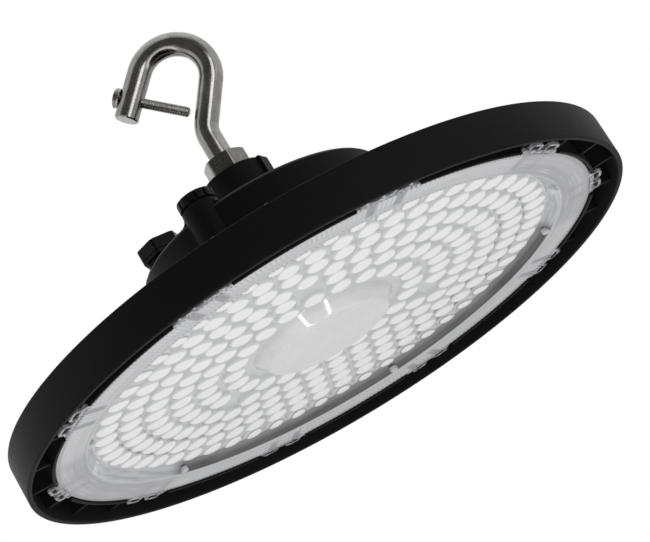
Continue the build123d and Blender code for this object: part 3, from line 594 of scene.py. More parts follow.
@dataclass(frozen=True)
class Moulded(Finish):
    """Moulded plastic, rubber, coated metal or board in one plain tone with a fine grain."""

    title: str = "moulded"
    tone: Colour = (0.02, 0.02, 0.02)
    roughness: float = 0.45
    metallic: float = 0.0
    grain: float = 900.0
    specular: float = 0.5

    def painted(self, paint: Paint) -> None:
        """A little drift in tone and gloss, and a fine grain."""
        drift = paint.noise(60.0, 3.0)
        grain = paint.noise(self.grain, 2.0)
        low = tuple(0.85 * part for part in self.tone)
        high = tuple(min(1.0, 1.15 * part) for part in self.tone)
        paint.set(
            base_color=paint.blend(drift * 0.7 + grain * 0.3, low, high),
            metallic=self.metallic,
            roughness=self.roughness + (drift - 0.5) * 0.1 + (grain - 0.5) * 0.06,
            normal=paint.bumped(grain, 0.02, 0.4),
        )
        paint.shader.inputs["Specular IOR Level"].default_value = self.specular


@dataclass(frozen=True)
class LensPlastic(Finish):
    """Clear moulded lens plate over a white board.

    The plate itself shows the board as a light grey, and the plateau's side wall is painted lighter as painted light on
    it. On two opposite sides the slope beside the flange carries painted shade for the dark dish seen through it, and
    the flange there is painted darker too. The flange is finely ribbed towards its outer edge, with painted highlights
    along the ribs, and the catches behind it show through as two darker patches at each clip.
    """

    title: str = "lens_plastic"
    plate: Colour = (0.60, 0.605, 0.61)
    plateau: Colour = (0.72, 0.722, 0.73)
    # Flange tone inside the painted shade; unshaded_flange is its tone elsewhere.
    flange: Colour = (0.34, 0.343, 0.352)
    unshaded_flange: Colour = (0.50, 0.503, 0.512)
    # Painted shade on the outer part of the slope.
    slope: Colour = (0.045, 0.045, 0.048)
    # Painted light on the plateau's side wall.
    wall: Colour = (0.80, 0.80, 0.81)
    ribs: int = 360
    clips: int = 10
    clip_phase: float = 2.6
    # Middle and half width, in degrees, of the painted shade, which lies on both opposite sides.
    painted_shade_middle: float = 80.5
    painted_shade_reach: float = 62.5

    def painted(self, paint: Paint) -> None:
        """Tones by radius and height, then painted highlights on the ribs, dotted edges, the catches' patches, and
        painted shade on the slope and flange by angle.
        """
        x, y, z = paint.axes()
        radius = (x * x + y * y).root() * 1000.0
        height = z * 1000.0
        angle = y.turn_from(x)
        cloud = paint.noise(45.0, 3.0)
        flow = paint.noise(1.0, 3.0, paint.joined(radius * 0.35, angle * 3.0, 0.0))
        rib = (angle * float(self.ribs)).sine()
        outside = radius.rise(119.6, 120.4)
        slope = radius.band(115.4, 119.5, 0.35) * height.rise(3.4, 3.9)
        # Painted shade by angle: within its reach of the middle, slope and flange get darker; unshaded_side is 1
        # elsewhere.
        across = (angle - math.radians(self.painted_shade_middle)).wrapped(math.pi).size()
        unshaded_side = 1.0 - across.rise(math.radians(self.painted_shade_reach) - 0.06, math.radians(self.painted_shade_reach) + 0.06)
        foot = radius.band(119.0, 119.8, 0.25)
        wall = height.band(2.9, 6.4, 0.7) * radius.band(29.0, 37.0, 1.0)
        ribbed = radius.band(127.0, 134.4, 0.8)
        turn = (angle - math.radians(self.clip_phase)).wrapped(2 * math.pi / self.clips)
        patch = (turn.size() * 127.0).band(4.4, 8.6, 0.8) * radius.band(123.5, 133.6, 1.0)
        dots = rib.rise(-0.1, 0.6) * (radius.band(132.9, 134.6, 0.25) + radius.band(121.2, 121.9, 0.2))
        streak = paint.noise(1.0, 4.0, paint.joined(radius * 0.9, angle * 6.0, 3.0))
        tone = paint.blend(radius.rise(33.0, 37.0), self.plateau, self.plate)
        # Painted light: the plateau's side wall is lighter all round.
        tone = paint.blend(wall * 0.85, tone, self.wall)
        tone = paint.blend(outside, tone, paint.blend(unshaded_side, self.flange, self.unshaded_flange))
        tone = paint.blend((cloud - 0.5) * 0.3 + (flow - 0.5) * 0.35 + 0.15, tone, (0.36, 0.36, 0.375))
        # Painted highlights along the flange's ribs.
        tone = paint.blend(ribbed * rib.rise(-0.6, 0.9) * (cloud.rise(0.35, 0.65) * 0.22 + 0.12), tone, (0.9, 0.9, 0.92))
        tone = paint.blend(outside * streak.rise(0.52, 0.75) * 0.28, tone, (0.9, 0.9, 0.92))
        tone = paint.blend(patch * (0.2 + unshaded_side * 0.5), tone, (0.16, 0.16, 0.17))
        tone = paint.blend(dots * (streak.rise(0.35, 0.65) * 0.45 + 0.25 + unshaded_side * 0.3), tone, (0.08, 0.08, 0.09))
        light_slope = paint.blend(streak.rise(0.35, 0.65), (0.40, 0.402, 0.415), (0.54, 0.545, 0.56))
        # Painted shade on the slope, with a darkest line at its foot.
        painted_shade_slope = paint.blend(radius.rise(116.0, 118.0), (0.19, 0.19, 0.197), self.slope)
        painted_shade_slope = paint.blend(streak.rise(0.3, 0.8) * 0.16, painted_shade_slope, (0.4, 0.4, 0.41))
        painted_shade_slope = paint.blend(foot * 0.85, painted_shade_slope, (0.02, 0.02, 0.022))
        tone = paint.blend(slope, tone, paint.blend(unshaded_side, light_slope, painted_shade_slope))
        height_map = ribbed * rib * 0.5 + flow * 0.25 + outside * streak * 0.6
        paint.set(
            base_color=tone,
            roughness=0.07 + cloud * 0.05 + outside * 0.24,
            ior=1.58,
            normal=paint.bumped(height_map, 0.12, 0.5),
        )


@dataclass(frozen=True)
class DomePlastic(Finish):
    """Domes that gather the light of the white board, with painted shade in some for the dark slope seen in them."""

    title: str = "dome_plastic"
    bright: Colour = (0.89, 0.89, 0.892)
    skirt: Colour = (0.60, 0.605, 0.61)
    # Tone of the painted shade on the domes.
    dark: Colour = (0.14, 0.14, 0.145)

    def painted(self, paint: Paint) -> None:
        """The painted shade's share is stored at the domes' points as shadow; fine mottling lies over all."""
        mottle = paint.noise(900.0, 3.0)
        drift = paint.noise(70.0, 2.0)
        tone = paint.blend((mottle - 0.5) * 0.4 + (drift - 0.5) * 0.3 + 0.15, self.bright, (0.72, 0.725, 0.73))
        tone = paint.blend(paint.value("skirt"), tone, self.skirt)
        paint.set(
            base_color=paint.blend(paint.value("shadow"), tone, self.dark),
            roughness=0.14 + mottle * 0.08,
            ior=1.58,
            normal=paint.bumped(mottle, 0.03, 0.4),
        )


@dataclass(frozen=True)
class ClearPlastic(Finish):
    """Clear moulded clips, seen against the black slot: grey glassy faces with light edges."""

    title: str = "clear_plastic"
    tone: Colour = (0.42, 0.425, 0.44)

    def painted(self, paint: Paint) -> None:
        """Cloudy tone, half open to what lies behind."""
        cloud = paint.noise(380.0, 3.0)
        flow = paint.noise(140.0, 2.0)
        paint.set(
            base_color=paint.blend(cloud.rise(0.35, 0.65), (0.22, 0.22, 0.235), (0.66, 0.665, 0.68)),
            roughness=0.1 + flow * 0.12,
            ior=1.58,
            alpha=0.62 + (cloud - 0.5) * 0.7,
            normal=paint.bumped(flow, 0.2, 0.6),
        )


COAT = PowderCoat()
STEEL = DrawnSteel()
FASTENER = DrawnSteel("fastener_steel", (0.34, 0.33, 0.31), 0.26, False)
NUT_STEEL = DrawnSteel("nut_steel", (0.18, 0.177, 0.169), 0.24, False)


# ---------------------------------------------------------------------------
# The lamp's pieces
# ---------------------------------------------------------------------------


@dataclass
class HeatSink:
    """Cast dish with its fins, lip and the plain outer ring."""

    ring_outer: float = 150.0
    ring_wall: float = 2.5
    ring_height: float = 18.7
    lip_inner: float = 135.4
    lip_outer: float = 137.0
    lip_low: float = 2.5
    flange_top: float = 5.3
    seat: float = 7.3
    seat_top: float = 10.3
    skirt_inner: float = 121.5
    skirt_outer: float = 125.5
    plate_low: float = 14.7
    plate_top: float = 18.7
    hole: float = 6.0
    fins: int = 30
    fin_phase: float = 8.6
    fin_start: float = 69.5
    fin_shoulder: float = 118.7
    fin_top: float = 30.0
    fin_end: float = 17.7
    fin_low: float = 4.5
    fin_root: float = 2.0
    clips: int = 10
    clip_phase: float = 2.6
    notch: float = 12.6
    catch_shift: float = 6.4
    catch_width: float = 4.4
    catch_depth: float = 1.8

    @property
    def ring_inner(self) -> float:
        """Inner radius of the ring."""
        return self.ring_outer - self.ring_wall

    def ring(self) -> Surface:
        """Plain ring: a tall thin section with softly rounded lower edges, turned."""
        inner, outer = self.ring_inner, self.ring_outer
        corners = [(inner, 0.0), (outer, 0.0), (outer, self.ring_height), (inner, self.ring_height)]
        return turned(rounded(corners, [0.8, 0.8, 0.5, 0.4], 5), 384)

    def dish(self) -> Surface:
        """Dish: the plate over the LED board, its skirt, and the seat of the lens flange."""
        corners = [
            (self.hole, self.plate_low),
            (self.skirt_inner, self.plate_low),
            (self.skirt_inner, self.seat),
            (self.lip_inner, self.seat),
            (self.lip_inner, self.flange_top),
            (self.lip_outer, self.flange_top),
            (self.lip_outer, self.seat_top),
            (self.skirt_outer, self.seat_top),
            (self.skirt_outer, self.plate_top),
            (self.hole, self.plate_top),
        ]
        radii = [0.2, 0.8, 0.3, 0.3, 0.1, 0.1, 0.8, 1.2, 1.0, 0.2]
        return turned(rounded(corners, radii, 3), 240)

    def lips(self) -> Surface:
        """Lip around the lens flange, open where the clips pass: arcs from notch to notch."""
        corners = [
            (self.lip_inner, self.lip_low),
            (self.lip_outer, self.lip_low),
            (self.lip_outer, self.seat),
            (self.lip_inner, self.seat),
        ]
        step = 360.0 / self.clips
        one = turned(rounded(corners, [0.5, 0.5, 0.05, 0.05], 4), 28, self.notch / 2, step - self.notch / 2)
        return one.copied(placed(around(self.clips, self.clip_phase)))

    def fin_plates(self) -> Surface:
        """Fins: the side outline of a tall plate and a low rib, a little thinner at its top."""
        outline = np.array([
            (self.fin_start, self.plate_top - 0.5),
            (self.skirt_outer - 0.5, self.plate_top - 0.5),
            (self.skirt_outer - 0.5, self.seat_top - 0.5),
            (self.lip_outer - 0.5, self.seat_top - 0.5),
            (self.lip_outer - 0.5, self.fin_low),
            (self.ring_inner + 0.5, self.fin_low),
            (self.ring_inner + 0.5, self.fin_end),
            (self.fin_shoulder, self.fin_top),
            (self.fin_start, self.fin_top),
        ])
        share = (outline[:, 1] - self.fin_low) / (self.fin_top - self.fin_low)
        thickness = self.fin_root - 0.5 * share
        return prism(outline, thickness).copied(placed(around(self.fins, self.fin_phase)))

    def catches(self) -> Surface:
        """Small ramped catches on the lip that stand in the loops of the clips."""
        inner = self.lip_outer - 0.5
        outer = self.lip_outer + self.catch_depth
        outline = np.array([
            (inner, self.seat_top),
            (outer, self.seat_top - self.catch_depth),
            (outer, 3.3),
            (self.lip_outer + 0.5, 3.3),
            (self.lip_outer + 0.5, self.flange_top),
            (inner, self.flange_top),
        ])
        pair = np.concatenate([np.tile(np.eye(4), (2, 1, 1))])
        pair[:, 1, 3] = (-self.catch_shift, self.catch_shift)
        one_clip = prism(outline, self.catch_width).copied(pair)
        return one_clip.copied(placed(around(self.clips, self.clip_phase)))

    def build(self) -> None:
        """Makes the casting's pieces."""
        built(self.ring(), "outer_ring", COAT, replaces=["heat_sink"])
        built(self.dish(), "cooling_dish", COAT)
        built(self.lips(), "dish_lip", COAT)
        built(self.fin_plates(), "cooling_fins", COAT, bevel=0.35)
        built(self.catches(), "clip_catches", COAT, bevel=0.25)


@dataclass
class LensPlate:
    """Moulded lens plate: plateau, domes, slope, flange, pillars and clips."""

    radius: float = 135.0
    wall: float = 2.0
    face: float = 3.3
    flange_inner: float = 120.0
    slope_top: float = 115.0
    plate: float = 9.0
    plateau_radius: float = 30.0
    plateau_flare: float = 5.5
    plateau_face: float = 2.6
    ring_radii: tuple[float, ...] = (45.5, 59.2, 71.8, 84.4, 96.8, 108.6)
    ring_counts: tuple[int, ...] = (22, 30, 36, 43, 49, 54)
    ring_phases: tuple[float, ...] = (11.2, 8.9, 3.0, 1.0, 5.0, 0.7)
    blank_radius: float = 8.6
    blank_ring: float = 59.2
    blank_phase: float = 32.9
    dome_radius: float = 5.9
    dome_depth: float = 2.8
    pillars: int = 6
    pillar_phase: float = 20.8
    pillar_radius: float = 2.2
    pillar_ring: float = 118.3
    pillar_low: float = 3.8
    pillar_top: float = 6.15
    clips: int = 10
    clip_phase: float = 2.6
    clip_reach: float = 5.6
    clip_shift: float = 6.4
    clip_hole: float = 6.0
    clip_bar: float = 1.4
    clip_height: float = 1.6
    land_half: float = 12.9
    land_end: float = 136.6

    def plate_surface(self) -> Surface:
        """The plate's section turned about the axis, soft at the plateau's edge."""
        flare = self.plateau_radius + self.plateau_flare
        inner_top = self.plate + self.wall
        corners = [
            (0.0, self.plateau_face),
            (self.plateau_radius, self.plateau_face),
            (flare, self.plate),
            (self.slope_top, self.plate),
            (self.flange_inner, self.face),
            (self.radius, self.face),
            (self.radius, self.face + self.wall),
            (self.flange_inner, self.face + self.wall),
            (self.slope_top, inner_top),
            (flare - self.wall, inner_top),
            (self.plateau_radius - self.wall, self.plateau_face + self.wall),
            (0.0, self.plateau_face + self.wall),
        ]
        radii = [0.01, 2.2, 1.2, 0.6, 0.8, 0.5, 0.3, 0.5, 0.5, 0.5, 1.0, 0.01]
        return turned(rounded(corners, radii, 6), 288)

    def dome_places(self) -> tuple[np.ndarray, np.ndarray]:
        """Places of all domes, and the number of the ring that each is in."""
        matrices, numbers = [], []
        screw = placed(around(3, self.blank_phase), self.blank_ring)[:, :2, 3]
        for number, (radius, count, phase) in enumerate(zip(self.ring_radii, self.ring_counts, self.ring_phases)):
            ring = placed(around(count, phase), radius, self.plate)
            gap = np.linalg.norm(ring[:, None, :2, 3] - screw[None], axis=2).min(axis=1)
            ring = ring[gap > self.blank_radius]
            matrices.append(ring)
            numbers.append(np.full(len(ring), number))
        return np.concatenate(matrices), np.concatenate(numbers)

    def domes(self) -> Surface:
        """Half ellipsoids on the plate's lower face, closed inside the plate.

        With p from 0 at the crown to 1 at the rim and t around, a point is (a sin(p pi / 2) cos(t), a sin(p pi / 2)
        sin(t), -h cos(p pi / 2)). On each dome +X points away from the axis. The painted shade's share grows on the
        side towards the axis, low on all domes, and lies as a painted shadow ring all round the core on those of the
        outermost ring.
        """
        p = np.array([0.0, 0.36, 0.45, 0.53, 0.60, 0.67, 0.75, 0.86, 1.0])[:, None]
        rows, columns = len(p), 24
        t = np.linspace(0, 2 * np.pi, columns, endpoint=False)[None, :]
        arm = self.dome_radius * np.sin(p * np.pi / 2)
        sink = -self.dome_depth * np.cos(p * np.pi / 2) ** 0.8
        grid = np.stack(np.broadcast_arrays(arm * np.cos(t), arm * np.sin(t), sink), axis=2)
        base = grid[-1:] + np.array([0.0, 0.0, 0.4])
        surface = Surface.woven(np.concatenate([grid, base]), wrap_columns=True)
        surface.lidded(np.arange(columns) + rows * columns)
        places, numbers = self.dome_places()
        many = surface.copied(places)
        share = np.concatenate([np.broadcast_to(p, grid.shape[:2]).ravel(), np.ones(columns)])
        inward = np.concatenate([np.broadcast_to(-np.cos(t), grid.shape[:2]).ravel(), -np.cos(t[0])])
        ring = np.repeat(numbers, len(share))
        share, inward = np.tile(share, len(places)), np.tile(inward, len(places))
        # Painted shade is set by each dome's angle round the lamp: far and left pick the sides that get it.
        azimuth = np.degrees(np.arctan2(places[:, 1, 3], places[:, 0, 3])) % 180.0
        far = np.clip((azimuth - 22.0) / 30.0, 0, 1) * np.clip((140.0 - azimuth) / 25.0, 0, 1)
        left = np.clip((azimuth - 70.0) / 30.0, 0, 1) * np.clip((178.0 - azimuth) / 20.0, 0, 1)
        far, left = np.repeat(far, len(inward) // len(places)), np.repeat(left, len(inward) // len(places))
        streak = np.clip((share - 0.8) / 0.12, 0, 1) * np.clip((inward - 0.80) / 0.12, 0, 1)
        rim = far * (ring == 5)
        edge = 0.58 + 0.13 * inward**2 - 0.17 * rim
        shadow_ring = np.exp(-(((share - edge - 0.08) / 0.06) ** 2))
        strength = np.array([0.05, 0.1, 0.22, 0.35, 0.7, 0.9])[ring]
        shadow = np.maximum(streak * strength * np.maximum(left, ring >= 4), shadow_ring * rim * 0.85)
        return many.valued("shadow", shadow).valued("skirt", np.clip((share - edge) / 0.07, 0, 1))

    def pillar_posts(self) -> Surface:
        """Short round posts that stand out of the slope, with a rounded lower end."""
        low, top, radius = self.pillar_low, self.pillar_top, self.pillar_radius
        outline = rounded([(0.0, low), (radius, low), (radius, top), (0.0, top)], [0.01, 0.9, 0.05, 0.01], 5)
        return turned(outline, 28).copied(placed(around(self.pillars, self.pillar_phase), self.pillar_ring))

    def clip_lands(self) -> Surface:
        """Short lands that leave the flange between the lip's ends: flat plates with round ends."""
        start = self.radius * math.cos(math.radians(5.5)) - 0.5
        half = self.land_half
        outline = rounded([(start, -half), (self.land_end, -half), (self.land_end, half), (start, half)], [0.3, 1.2, 1.2, 0.3])
        low = np.column_stack([outline, np.full(len(outline), self.face)])
        high = np.column_stack([outline, np.full(len(outline), self.face + self.clip_height)])
        surface = Surface.woven(np.stack([low, high]), wrap_columns=True)
        loop = np.arange(len(outline))
        surface.lidded(loop, loop + len(outline))
        return surface.copied(placed(around(self.clips, self.clip_phase)))

    def clip_loops(self) -> Surface:
        """Two open loops on each clip: a small rounded bar section carried along a U.

        The U runs out, across and back, with round corners. At each point of it the section lies
        in the plane of the U's side direction and the lamp's axis.
        """
        outer = self.radius + self.clip_reach - self.clip_bar / 2
        half = (self.clip_hole + self.clip_bar) / 2
        start = self.land_end - 0.8
        bend = 1.5
        turn = np.linspace(0, np.pi / 2, 6)
        first = np.column_stack([outer - bend + bend * np.sin(turn), -half + bend - bend * np.cos(turn)])
        path = np.concatenate([[(start, -half)], first, first[::-1] * (1, -1), [(start, half)]])
        ahead = np.gradient(path, axis=0)
        ahead /= np.linalg.norm(ahead, axis=1, keepdims=True)
        side = np.column_stack([ahead[:, 1], -ahead[:, 0]])
        w, h = self.clip_bar / 2, self.clip_height / 2
        section = rounded([(-w, -h), (w, -h), (w, h), (-w, h)], 0.3, 3)
        flat = path[:, None, :] + side[:, None, :] * section[None, :, :1]
        lift = np.broadcast_to(self.face + h + section[None, :, 1:], (*flat.shape[:2], 1))
        surface = Surface.woven(np.concatenate([flat, lift], axis=2), wrap_columns=True)
        count, size = len(path), len(section)
        surface.lidded(np.arange(size), np.arange(size) + (count - 1) * size)
        pair = np.tile(np.eye(4), (2, 1, 1))
        pair[:, 1, 3] = (-self.clip_shift, self.clip_shift)
        return surface.copied(pair).copied(placed(around(self.clips, self.clip_phase)))

    def build(self) -> None:
        """Makes the lens's pieces."""
        plastic = LensPlastic()
        built(self.plate_surface(), "lens_plate", plastic, replaces=["lens"])
        built(self.domes(), "lens_domes", DomePlastic(), crease=60.0, flatten=0.62)
        built(self.pillar_posts(), "lens_pillars", Moulded("pillar_plastic", (0.5, 0.505, 0.51), 0.2))
        clear = ClearPlastic()
        built(self.clip_lands(), "clip_lands", clear, bevel=0.2)
        built(self.clip_loops(), "clip_loops", clear)


@dataclass
class DriverHousing:
    """Cast drum with its flange and hub, the control port's column and the grub screw's pad."""

    radius: float = 59.3
    cavity: float = 56.3
    flange: float = 68.0
    foot: float = 18.7
    flange_top: float = 22.7
    top: float = 63.9
    cavity_top: float = 60.4
    chamfer: float = 1.2
    hub: float = 16.0
    hub_top: float = 90.75
    hub_foot: float = 3.0
    bore: float = 6.05
    bore_bottom: float = 65.75
    port_radius: float = 8.7
    port_ring: float = 54.6
    port_angle: float = 249.4
    port_top: float = 67.75
    port_foot: float = 3.2
    boss_ring: float = 45.008
    boss_radius: float = 8.7
    boss_top: float = 74.8
    shoulder_radius: float = 13.99
    shoulder_rise: float = 3.6
    pad_angle: float = -20.0
    pad_width: float = 8.0
    pad_proud: float = 1.3

    def drum(self) -> Surface:
        """Section of drum, flange and hub, turned about the axis."""
        corners = [
            (self.cavity, self.foot),
            (self.flange, self.foot),
            (self.flange, self.flange_top),
            (self.radius, self.flange_top),
            (self.radius, self.top - self.chamfer),
            (self.radius - self.chamfer, self.top),
            (self.hub + self.hub_foot, self.top),
            (self.hub, self.top + self.hub_foot),
            (self.hub, self.hub_top - 0.6),
            (self.hub - 0.6, self.hub_top),
            (self.bore, self.hub_top),
            (self.bore, self.bore_bottom),
            (0.0, self.bore_bottom),
            (0.0, self.cavity_top),
            (self.cavity, self.cavity_top),
        ]
        radii = [0.1, 0.5, 0.8, 0.6, 0.45, 0.45, 1.8, 1.8, 0.25, 0.25, 0.1, 0.1, 0.01, 0.01, 0.5]
        return turned(rounded(corners, radii, 4), 288)

    def column(self) -> Surface:
        """Port column: a post in the drum's wall with a flared foot on the drum's top."""
        radius, top = self.port_radius, self.port_top
        corners = [
            (0.0, self.flange_top),
            (radius, self.flange_top),
            (radius, top),
            (6.4, top),
            (6.4, self.cavity_top + 1.0),
            (0.0, self.cavity_top + 1.0),
        ]
        post = turned(rounded(corners, [0.01, 0.1, 0.5, 0.3, 0.1, 0.01], 4), 96)
        return post.copied(placed(self.port_angle, self.port_ring))

    def column_foot(self) -> Surface:
        """Flare at the column's foot, drawn in to the flat of the drum's top.

        A point outside the flat's rim is pulled straight towards the lamp's axis onto the rim,
        which lies inside the column, so that nothing stands out over the drum's side.
        """
        radius, foot = self.port_radius, self.port_foot
        turn = np.linspace(0, np.pi / 2, 7)
        flare = np.column_stack([radius + foot * (1 - np.sin(turn)), self.top + foot * (1 - np.cos(turn))])
        outline = np.concatenate([[(radius - 2.0, self.top - 0.4), (radius + foot, self.top - 0.4)], flare, [(radius - 2.0, self.top + foot)]])
        ring = turned(outline, 96).copied(placed(self.port_angle, self.port_ring))
        away = np.hypot(ring.points[:, 0], ring.points[:, 1])
        ring.points[:, :2] *= np.minimum(1.0, (self.radius - self.chamfer) / away)[:, None]
        return ring

    def boss(self) -> Surface:
        """Gland boss: a round post that widens to a rounded shoulder at the drum's edge."""
        slope = self.shoulder_radius - self.boss_radius
        shoulder = self.top + self.shoulder_rise
        corners = [
            (7.1, self.top - 1.7),
            (self.shoulder_radius, self.top - 1.7),
            (self.shoulder_radius, shoulder),
            (self.boss_radius, shoulder + slope),
            (self.boss_radius, self.boss_top),
            (7.1, self.boss_top),
        ]
        outline = rounded(corners, [0.1, 0.1, 2.0, 2.0, 0.3, 0.1], 6)
        return turned(outline, 96).copied(placed(180.0, self.boss_ring))

    def pad(self) -> Surface:
        """Flat pad on the hub's side, with rounded edges, as high as the hub."""
        inner, outer = self.hub - 1.0, self.hub + self.pad_proud
        outline = rounded([(inner, self.top - 0.5), (outer, self.top - 0.5), (outer, self.hub_top - 0.2), (inner, self.hub_top - 0.2)], [0.1, 0.1, 0.8, 0.1])
        return prism(outline, self.pad_width).copied(placed(self.pad_angle))

    def build(self) -> None:
        """Makes the housing's pieces."""
        # The drum's top chamfer gets a painted highlight.
        coat = PowderCoat("drum_coat", highlight_rims=((self.radius - self.chamfer / 2, self.top - self.chamfer / 2),))
        built(self.drum(), "driver_drum", coat, replaces=["driver_housing"])
        built(self.column(), "port_column", COAT)
        built(self.column_foot(), "port_column_foot", COAT)
        built(self.boss(), "gland_boss", COAT)
        built(self.pad(), "grub_pad", COAT, bevel=0.5)


@dataclass
class PortCap:
    """Fluted cap on the control port."""

    radius: float = 8.7
    low: float = 68.55
    top: float = 73.45
    flutes: int = 12
    flute_depth: float = 0.9
    ring: float = 54.6
    angle: float = 249.4

    def surface(self) -> Surface:
        """Cap whose side is grooved: radius less a groove where cos(12 t) is near 1."""
        def side(angle: np.ndarray) -> np.ndarray:
            """Radius of the fluted side at each angle."""
            return self.radius - self.flute_depth * np.clip(np.cos(self.flutes * angle), 0, 1) ** 3

        levels = [
            (0.0, self.low, False),
            (self.radius - 1.4, self.low, False),
            (self.radius - 0.3, self.low, True),
            (self.radius, self.low + 0.3, True),
            (self.radius, self.top - 1.0, True),
            (self.radius - 0.3, self.top - 0.35, True),
            (self.radius - 1.1, self.top, False),
            (self.radius - 2.4, self.top, False),
            (self.radius - 2.8, self.top - 0.3, False),
            (0.0, self.top - 0.3, False),
        ]
        return faceted(levels, side, 144).copied(placed(self.angle, self.ring))

    def build(self) -> None:
        """Makes the cap."""
        built(self.surface(), "port_screw_cap", Moulded("cap_plastic", (0.005, 0.005, 0.0052), 0.42, specular=0.1), replaces=["port_cap"])


class HexPiece(Enum):
    """The lamp's visible hexagons: flats, turn, low and high level, bore and corner cut."""

    HOOK_NUT = (19.0, -9.4, 90.75, 100.75, 6.0, 1.1)
    GLAND_COLLAR = (19.0, 23.0, 74.8, 76.3, 6.9, 0.3)
    GLAND_NUT = (19.0, 23.0, 76.7, 82.1, 5.0, 0.5)

    def surface(self) -> Surface:
        """Hexagonal bar whose corners are cut by a cone at its ends.

        At each angle the radius is the smaller of the hexagon's and the cone's.
        """
        flats, turn, low, high, bore, cut = self.value
        corner = flats / math.sqrt(3)
        both = self is HexPiece.HOOK_NUT
        drop = cut if self is HexPiece.GLAND_NUT else cut * 0.5
        levels = [
            (bore, low, False),
            (bore, high - 0.3, False),
            (bore + 0.3, high, False),
            (corner - cut, high, True),
            (corner - cut * 0.5, high - drop * 0.42, True),
            (corner, high - drop, True),
        ]
        if both:
            levels += [(corner, low + drop, True), (corner - cut * 0.5, low + drop * 0.42, True), (corner - cut, low, True)]
        else:
            levels += [(corner, low, True)]

        def side(angle: np.ndarray) -> np.ndarray:
            """Radius of the hexagon with slightly rounded corners."""
            return np.minimum(hexagon_radius(angle, flats, turn), corner - 0.28)

        return faceted(levels, side, 240)


@dataclass
class CableGland:
    """Collar and domed nut of the cable gland."""

    ring: float = 45.008
    angle: float = 180.0

    def build(self) -> None:
        """Makes the nut and the collar over their nodes' places."""
        plastic = Moulded("gland_plastic", (0.005, 0.005, 0.0052), 0.4, specular=0.1)
        place = placed(self.angle, self.ring)
        built(HexPiece.GLAND_NUT.surface().copied(place), "gland_dome_nut", plastic, crease=24.0, replaces=["gland_nut"])
        neck = turned(rounded([(6.0, 56.0), (7.0, 56.0), (7.0, 79.9), (6.0, 79.9)], 0.2, 3), 64)
        collar = HexPiece.GLAND_COLLAR.surface().joined(neck)
        built(collar.copied(place), "gland_collar", plastic, crease=24.0, replaces=["gland_body"])


